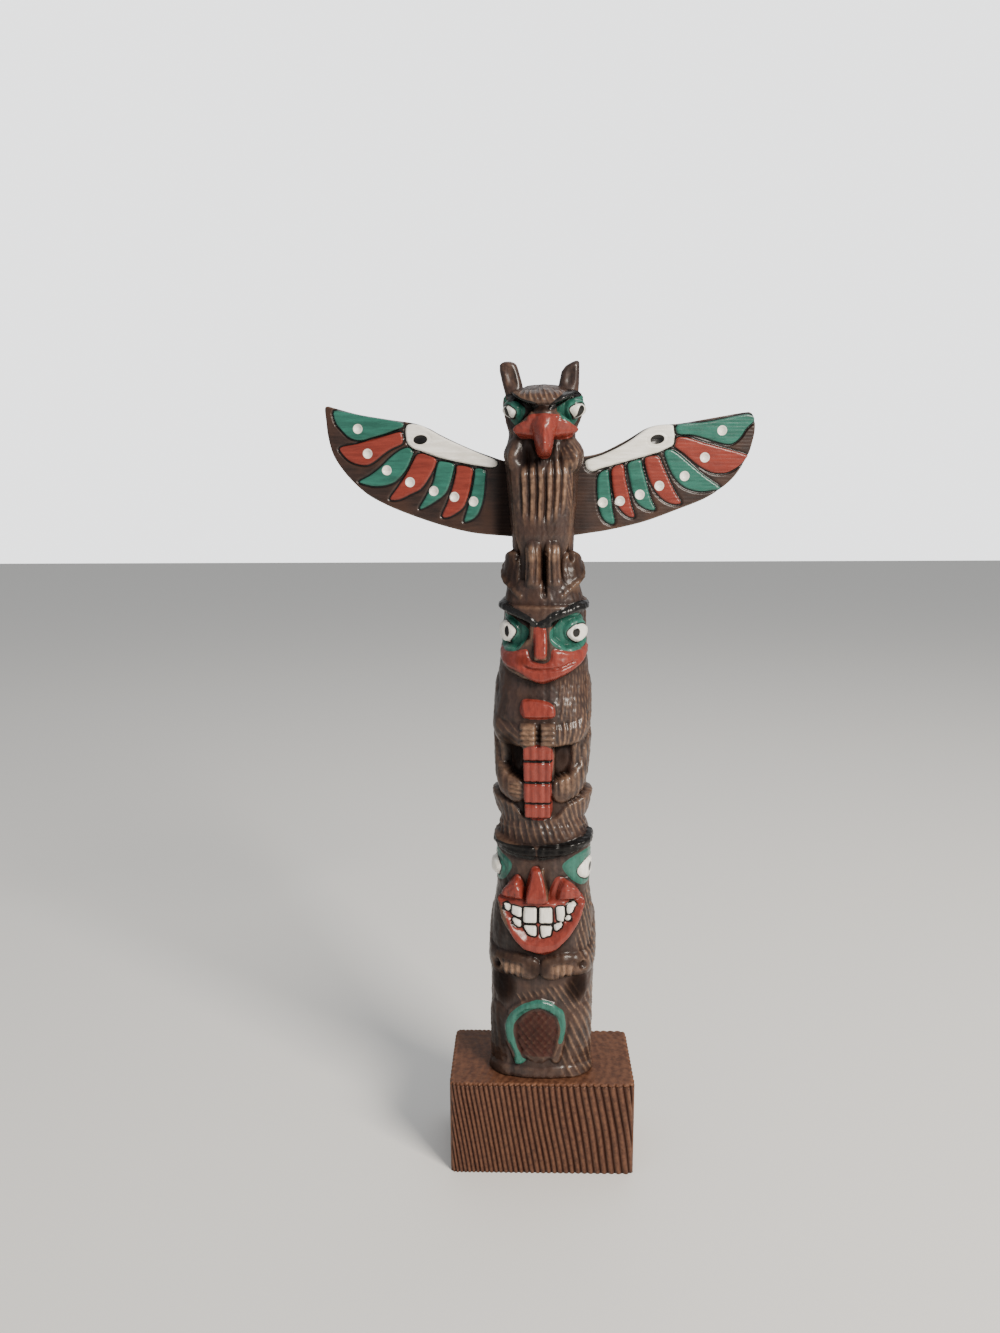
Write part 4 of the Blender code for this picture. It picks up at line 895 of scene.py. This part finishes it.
# Feathers, arm bone, dimples and the eye on the bone, each board marked out by its own
wingPaint = {
    "left": {
        "feathers": [
            ("green", [(61, 12.5), (56.3, 12.1), (49.9, 11.1), (44.8, 10.2), (41, 9.4), (40.3, 8.8), (40.6, 8),
                       (43.1, 7), (47.8, 5.3), (50.7, 4.3), (54.1, 4.1), (56.7, 5), (58.8, 7), (60.6, 9.2)]),
            ("red", [(59.5, 1.5), (58.4, 2.4), (54.1, 3.2), (49.9, 4.5), (45.7, 5.6), (41.4, 6.7), (40.6, 5.7),
                     (40.5, 3.7), (41.4, 2.9), (43.9, 1.8), (46.5, 0.1), (49, -1.9), (51.1, -2.9),
                     (53.7, -2.8), (56.3, -1.9), (58.2, -0.3)]),
            ("green", [(53.7, -7.7), (50.7, -6), (47.3, -3.5), (44.3, -0.6), (41.4, 1.5), (38.9, 2.3),
                       (37.5, 1), (38, -0.9), (39.6, -4.2), (42.2, -7.1), (44.7, -8.4), (48.1, -9),
                       (51.1, -8.7)]),
            ("red", [(36.2, 0.4), (33.8, 0.5), (30.8, -0.8), (30.9, -2.8), (32.9, -6.5), (35.3, -9.6),
                     (38.3, -11.1), (41.3, -12.6), (43.8, -12.9), (44.3, -12.1), (42.1, -9.1),
                     (39.6, -5.4), (37.6, -1.7)]),
            ("green", [(30.2, -1.8), (28.7, -1.5), (25.6, -2.2), (25.5, -3.9), (26.5, -7.6), (27.7, -10.4),
                       (29.8, -12.3), (32.7, -14.2), (35.1, -15.3), (35.5, -14.7), (34, -12.2),
                       (31.6, -7.7), (30.8, -4)]),
            ("red", [(24.4, -2.6), (20.1, -3.4), (20.1, -5.8), (20.8, -9.9), (22.2, -14), (24.3, -16.1),
                     (27.2, -17.6), (28.9, -17.1), (27.3, -13.3), (25.7, -8.3), (24.9, -4.7)]),
            ("green", [(19.3, -3.5), (16.4, -3.9), (16.3, -7.3), (16.8, -12.2), (18, -15.9), (19.6, -17.8),
                       (21.9, -18.8), (22.3, -18.1), (21.2, -14.3), (20.2, -9.8), (19.5, -5.8)])],
        "bone": [(39.6, 7.9), (38.7, 8.8), (36.4, 8.8), (34.7, 8.4), (31.8, 6.9), (28, 4.9), (22.5, 2.6),
                 (17.9, 0.7), (13.8, -0.8), (12.8, -1.8), (13.3, -2.7), (15, -3), (19.1, -2.5), (24.5, -1.6),
                 (30.4, -0.3), (35.5, 1.4), (38, 2.3), (39.3, 3.9), (39.7, 5.9)],
        "dimples": [(53.8, 7.4), (50.9, 0.4), (45.2, -4.3), (38.3, -7.6), (31.3, -10), (25.2, -11.6),
                    (19.6, -12.8)],
        "eye": ((35.3, 4.5), -6),
    },
    "right": {
        "feathers": [
            ("green", [(38.6, 9.9), (45.3, 10.6), (51.5, 11.8), (56.9, 13), (59.4, 13.3), (61.1, 12.3),
                       (60.8, 11.1), (58.8, 9.2), (57.3, 6.8), (55.3, 5), (53.2, 4.6), (49, 5.5),
                       (43.4, 7), (38.8, 7.2)]),
            ("red", [(37.9, 4.8), (38.7, 6.3), (41.4, 6.4), (46.5, 5), (53.3, 3.4), (59.5, 1.8), (59.4, 0.8),
                     (57.4, -1.3), (55, -2.9), (52.5, -3.6), (48.7, -3.3), (44.8, -1.3), (40.8, 1.7),
                     (38, 3.6)]),
            ("green", [(35, 1.9), (36.6, 2.9), (39.1, 1.8), (43.1, -1.3), (47.5, -4.6), (52.3, -7.8),
                       (49.8, -8.5), (45.6, -8.9), (41.4, -7.8), (38.3, -5.1), (36.4, -1.9)]),
            ("red", [(29.4, 0.1), (31.7, 1), (33.4, 0.8), (34.7, -1.5), (37.1, -6.3), (38.9, -9.5),
                     (40.6, -12.3), (37.9, -12.6), (34.8, -11.1), (32.2, -8.1), (30.3, -4.1)]),
            ("green", [(24.5, -1.4), (28, -0.1), (29, -2.9), (30.5, -7.7), (31.7, -11.3), (33.1, -14.3),
                       (30.4, -14.2), (27.8, -12.5), (26.1, -9.1), (25.1, -5)]),
            ("red", [(20, -2.8), (23.1, -1.5), (23.9, -5.1), (25.1, -9.5), (26.1, -13.5), (27.1, -16.4),
                     (25.2, -16.4), (22.8, -14.4), (21, -11.2), (20.1, -6.8)]),
            ("green", [(15.9, -5.3), (16.8, -3.9), (18.8, -3.2), (19.3, -6), (20, -10.8), (20.6, -14.9),
                       (21.3, -18.1), (20.1, -18.7), (18.2, -17.6), (16.8, -15), (16, -10.9),
                       (15.8, -7.7)])],
        "bone": [(12.4, -2), (12.7, -0.6), (16.8, 0.8), (22, 3.3), (26, 5.8), (29.6, 8.5), (32.9, 9.8),
                 (36.6, 9.9), (37.6, 8.6), (37.8, 5), (37, 3.8), (33.3, 2), (28.4, 0.5), (22.2, -1.3),
                 (16.9, -2.8), (14.5, -3.7), (13, -3.2)],
        "dimples": [(51.6, 8.5), (46.9, 0.8), (41.2, -4.6), (33.9, -7.5), (28.3, -10.1), (22.6, -12),
                    (17.6, -12.5)],
        "eye": ((32.8, 5.6), 10),
    },
}


def boardEdges(side, grow=0.0):  # the board's upper and lower edge as height by distance out
    corners = [Vector((wing["root"] + out * (wing["reach"] - wing["root"]), up * wing["reach"]))
               for out, up in wing["outline"][side]]
    points = []
    for i in range(len(corners) - 1):
        points += curveSpan([corners[min(max(i + k, 0), len(corners) - 1)] for k in (-1, 0, 1, 2)], 6)
    points = np.array([*points, corners[-1]])
    tip = int(np.argmax(points[:, 0]))
    if grow:
        away = points - points.mean(axis=0)
        points = points + away / np.hypot(*away.T)[:, None] * grow
    return points[:tip + 1], points[tip:][::-1]


def boardPlace(side):
    put = Matrix.Translation((0, wing["backSet"] * mm, wing["top"] * mm))
    for turn, axis in ((wing["sweep"], "Z"), (-wing["rise"][side], "Y"), (math.pi / 2, "X")):
        put = put @ Matrix.Rotation(turn, 4, axis)
    return Matrix.Diagonal((-1, 1, 1, 1)) @ put if side == "left" else put


def boardBlank(name, columns, rows):  # a grid drawn up into a thin block
    clearSelection()
    bpy.ops.mesh.primitive_grid_add(x_subdivisions=columns, y_subdivisions=rows, size=1, location=(0, 0, 0))
    piece = justMade(name)
    bpy.ops.object.mode_set(mode="EDIT")
    bpy.ops.mesh.select_all(action="SELECT")
    bpy.ops.mesh.extrude_region_move(TRANSFORM_OT_translate={"value": (0, 0, 1)})
    bpy.ops.mesh.select_all(action="SELECT")
    bpy.ops.mesh.normals_make_consistent(inside=False)
    bpy.ops.object.mode_set(mode="OBJECT")
    return piece


def shapeBoard(piece, side, values=None, grow=0.0):
    start = places(piece)
    share = np.clip(start[:, 0] + 0.5, 0, 1)
    share = 1 - (1 - share) ** 1.25
    upper, lower = boardEdges(side, grow)
    first, last = max(upper[0, 0], lower[0, 0]), upper[-1, 0]
    out = first + share * 0.9996 * (last - first)
    high = np.interp(out, upper[:, 0], upper[:, 1])
    low = np.interp(out, lower[:, 0], lower[:, 1])
    up = low + (high - low) * (start[:, 1] + 0.5)
    front = start[:, 2] > 0.5
    half = wing["thickness"] / 2 + grow
    depth = np.where(front, half, -half)
    if values is not None:
        outline = [tuple(p) for p in [*upper, *lower[::-1][1:]]]
        rim = np.abs(insideBy(out, up, outline))
        atRim = (share < 0.001) | (share > 0.9999) | (np.abs(start[:, 1]) > 0.4999)
        rim = np.where(atRim, 0, rim)
        body = half - wing["edge"] * (1 - roundOver(rim, wing["edge"]))
        relief = boardRelief(side, out, up, rim)
        depth = np.where(front, body + np.minimum(relief["height"], 0), -body + 0.5 * relief["back"])
        for name in paintNames:
            values[name] = np.where(front, np.clip(relief[name], -2, 2), -2)
        # the back's edges take the tan as wear and painted highlight
        values["crest"] = np.where(front, relief["crest"], 0.6 * ease(rim, 1.2, 0.2))
        values["hollow"] = np.where(front, relief["hollow"], 0)
        values["ruddy"] = np.zeros(len(out))
    spot = np.stack([out, up, depth], axis=-1)
    put = np.array(boardPlace(side))
    place(piece, (spot * mm) @ put[:3, :3].T + put[:3, 3])
    if side == "left":
        bpy.ops.object.mode_set(mode="EDIT")
        bpy.ops.mesh.select_all(action="SELECT")
        bpy.ops.mesh.flip_normals()
        bpy.ops.object.mode_set(mode="OBJECT")


def boardRelief(side, out, up, rim):
    marks = wingPaint[side]
    paint = emptyPaint(out)
    grain = 0.03 * np.sin(up * 6.2 + 0.9 * wander(out / 9, up / 3, 3)) * (0.6 + 0.4 * wander(out / 4, up, 7))
    height = -0.25 + grain
    for colour, outline in marks["feathers"]:
        distance = insideBy(out, up, rounded(outline, 3))
        layPaint(paint, "black", wing["line"] + distance)
        layPaint(paint, colour, distance)
        height = height + 0.25 * roundOver(distance, 0.8)
        height = height - wing["cut"] * ease(np.abs(distance + 0.2), 0.5, 0.1)
    bone = insideBy(out, up, rounded(marks["bone"], 3))
    layPaint(paint, "black", wing["line"] + bone)
    layPaint(paint, "white", bone)
    height = height + 0.25 * roundOver(bone, 1.0) - wing["cut"] * ease(np.abs(bone + 0.2), 0.5, 0.1)
    for x, y in marks["dimples"]:
        reach = np.hypot(out - x, up - y)
        layPaint(paint, "white", wing["dimple"] - reach)
        bowl = 1 - np.clip(reach / (wing["dimple"] * 0.9), 0, 1) ** 2
        height = height - wing["dimpleDepth"] * bowl + 0.12 * ease(np.abs(reach - wing["dimple"]), 0.35, 0)
    (x, y), tilt = marks["eye"]
    turn = math.radians(tilt)
    a = (out - x) * math.cos(turn) + (up - y) * math.sin(turn)
    b = -(out - x) * math.sin(turn) + (up - y) * math.cos(turn)
    reach = np.hypot(a / 2.1, b / 1.35)
    height = height - 0.3 * (1 - np.clip(reach, 0, 1) ** 2) - 0.12 * ease(np.abs(reach - 1.45), 0.2, 0.02)
    layPaint(paint, "black", (1 - reach) * 1.4)
    # The front's edges and raised parts take a little tan as wear and painted highlight; the root is darkened
    # with painted shade where the pole shades it, the left wing more
    return {**paint, "height": height, "back": 0.12 * np.sin(up * 2.6 + wander(out / 8, up / 3, 1)),
            "crest": np.clip(0.25 * ease(rim, 0.6, 0.1) + ease(height, -0.18, 0.0) * 0.15, 0, 1),
            "hollow": ease(out, 15, 11) * (0.75 if side == "left" else 0.35)}


def makeWing(side):
    piece = boardBlank("painted-wing-" + side, wing["columns"], wing["rows"])
    values = {}
    shapeBoard(piece, side, values)
    giveValues(piece, values)
    piece.data.shade_smooth()
    return piece


def wingSlot(side):
    piece = boardBlank("slot-" + side, 40, 8)
    shapeBoard(piece, side, grow=0.3)
    return piece


# The plinth: a block with combed sides. Pitch grows from left to right across the front.
plinth = {
    "width": 56.0, "depth": 32.0, "height": 29.5, "corner": 2.2, "edge": 0.7,
    "cells": ((13, 14), (10, 9), (6, 6)), "lean": math.radians(9), "pitchLeft": 1.15, "pitchRight": 2.26,
    "sidePitch": 2.1, "combDepth": 0.75,
}


def makePlinth():
    clearSelection()
    bpy.ops.mesh.primitive_cube_add(size=1, location=(0, 0, plinth["height"] / 2 * mm),
                                    scale=(plinth["width"] * mm, plinth["depth"] * mm, plinth["height"] * mm))
    piece = justMade("combed-plinth")
    bpy.ops.object.mode_set(mode="EDIT")
    for axis, cuts in enumerate(plinth["cells"]):
        cutAlong(piece, axis, cuts)
    bpy.ops.object.mode_set(mode="OBJECT")
    start = places(piece) / mm
    halfX, halfY, top, corner = plinth["width"] / 2, plinth["depth"] / 2, plinth["height"], plinth["corner"]
    x, y, z = start.T
    # square corners drawn in to round ones
    a, b = np.abs(x) - (halfX - corner), np.abs(y) - (halfY - corner)
    atCorner = (a > 0) & (b > 0)
    reach = np.maximum(a, b)
    angle = np.where(a >= b, b / np.maximum(a, 1e-9), 2 - a / np.maximum(b, 1e-9)) * math.pi / 4
    x = np.where(atCorner, np.sign(x) * (halfX - corner + reach * np.cos(angle)), x)
    y = np.where(atCorner, np.sign(y) * (halfY - corner + reach * np.sin(angle)), y)
    # how far in from the side, and the way out
    a, b = np.abs(x) - (halfX - corner), np.abs(y) - (halfY - corner)
    inset = corner - np.where((a > 0) & (b > 0), np.hypot(a, b), np.maximum(a, b))
    reach = np.maximum(np.hypot(a, b), 1e-9)
    outX = np.sign(x) * (a > 0) * np.where(b <= 0, 1, a / reach)
    outY = np.sign(y) * (b > 0) * np.where(a <= 0, 1, b / reach)
    # combed ridges: front and back by x, ends by y
    lean = x + z * math.tan(plinth["lean"])
    share = (lean + halfX) / (2 * halfX)
    pitch0, pitch1 = plinth["pitchLeft"], plinth["pitchRight"]
    lane = 2 * halfX / (pitch1 - pitch0) * np.log1p(np.maximum(share, -0.2) * (pitch1 - pitch0) / pitch0)
    frontal = ease(np.abs(outY), 0.5, 0.9)
    sideLane = (y + 0.6 * wander(z / 6, y / 7, 4)) / plinth["sidePitch"]
    laneAll = np.where(frontal > 0.5, lane + 0.12 * wander(z / 5, x / 6, 2), sideLane)
    cut = np.abs(np.cos(math.pi * laneAll)) - 1
    atSide = ease(inset, 0.5, 0.1)
    deepen = 0.85 + 0.15 * wander(z / 4, laneAll, 6)
    dip = -cut * plinth["combDepth"] * deepen * np.clip(1 - inset / 3, 0, 1) + 0.04
    x, y = x - outX * dip, y - outY * dip
    crest = ease(cut, -0.6, -0.1) * atSide
    # the top keeps faint curved grain and its rim is rounded
    onTop = ease(z, top - 0.01, top)
    rimDrop = plinth["edge"] * (1 - roundOver(inset, plinth["edge"]))
    bow = y + 0.004 * x * x
    saw = 0.5 + 0.5 * np.sin((x * 2.6 + 0.05 * bow * bow) + 0.8 * wander(x / 6, y / 5, 9))
    z = z - onTop * (rimDrop + 0.07 * saw + 0.02)
    z = np.where(start[:, 2] < 0.01, 0, z)
    place(piece, np.stack([x, y, z], axis=-1) * mm)
    piece.data.shade_smooth()
    # the ridge tops and the rim take the tan as wear and painted highlight, and the top a little all over; the
    # grooves are darkened as painted shade
    rimWearAndHighlight = ease(np.abs(start[:, 2] - top), 0.9, 0.0) * ease(inset, 1.4, 0.2)
    giveValues(piece, {
        **{name: np.full(len(x), -2.0) for name in paintNames},
        "crest": np.clip(crest * 0.7 + rimWearAndHighlight * 0.6 + onTop * (0.6 + (1 - saw) * 0.15), 0, 1),
        "hollow": np.clip(ease(cut, -0.55, -0.95) * atSide, 0, 1), "ruddy": np.full(len(x), 0.12)})
    return piece


poleWood = paintedWood("stained-and-enamelled-carving-wood", finish)
wingWood = paintedWood("stained-and-enamelled-board", {
    **finish, "stain": "35251f", "grainScale": (90.0, 900.0, 900.0), "lacquer": 0.3})
plinthWood = paintedWood("stained-combed-block-wood", {
    **finish, "stain": "42261b", "stainDark": "28140e", "rubbed": "6e4a36", "grime": "1e0f08",
    "woodRough": 0.5, "lacquer": 0.15})

carvedPole = makePole()
print("pole carved,", len(carvedPole.data.vertices), "points")
closeEnds(carvedPole)
for hornSide, hornValues in horns.items():
    combine(carvedPole, makeHorn(hornSide, hornValues), "UNION")
for boardSide in ("left", "right"):
    combine(carvedPole, wingSlot(boardSide), "DIFFERENCE")
carvedPole.data.shade_smooth()
onPoleLayer = carvedPole.data.attributes["onPole"].data
bareWood = [i for i, item in enumerate(onPoleLayer) if item.value < 0.999]
for paintName in paintNames:
    layer = carvedPole.data.attributes[paintName].data
    for i in bareWood:
        layer[i].value = -2
print("horns joined and wing slots cut,", len(bareWood), "new points")

painted = {"plinth": makePlinth()}
for boardSide in ("left", "right"):
    painted["wing_" + boardSide] = makeWing(boardSide)
painted["pole"] = carvedPole
print("wings and plinth made")

for node, piece in painted.items():
    piece.data.materials.clear()
    piece.data.materials.append(poleWood if node == "pole" else plinthWood if node == "plinth" else wingWood)
    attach(piece, "root")
    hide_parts(node)
    piece.data.calc_loop_triangles()
    print(piece.name, len(piece.data.loop_triangles), "triangles")
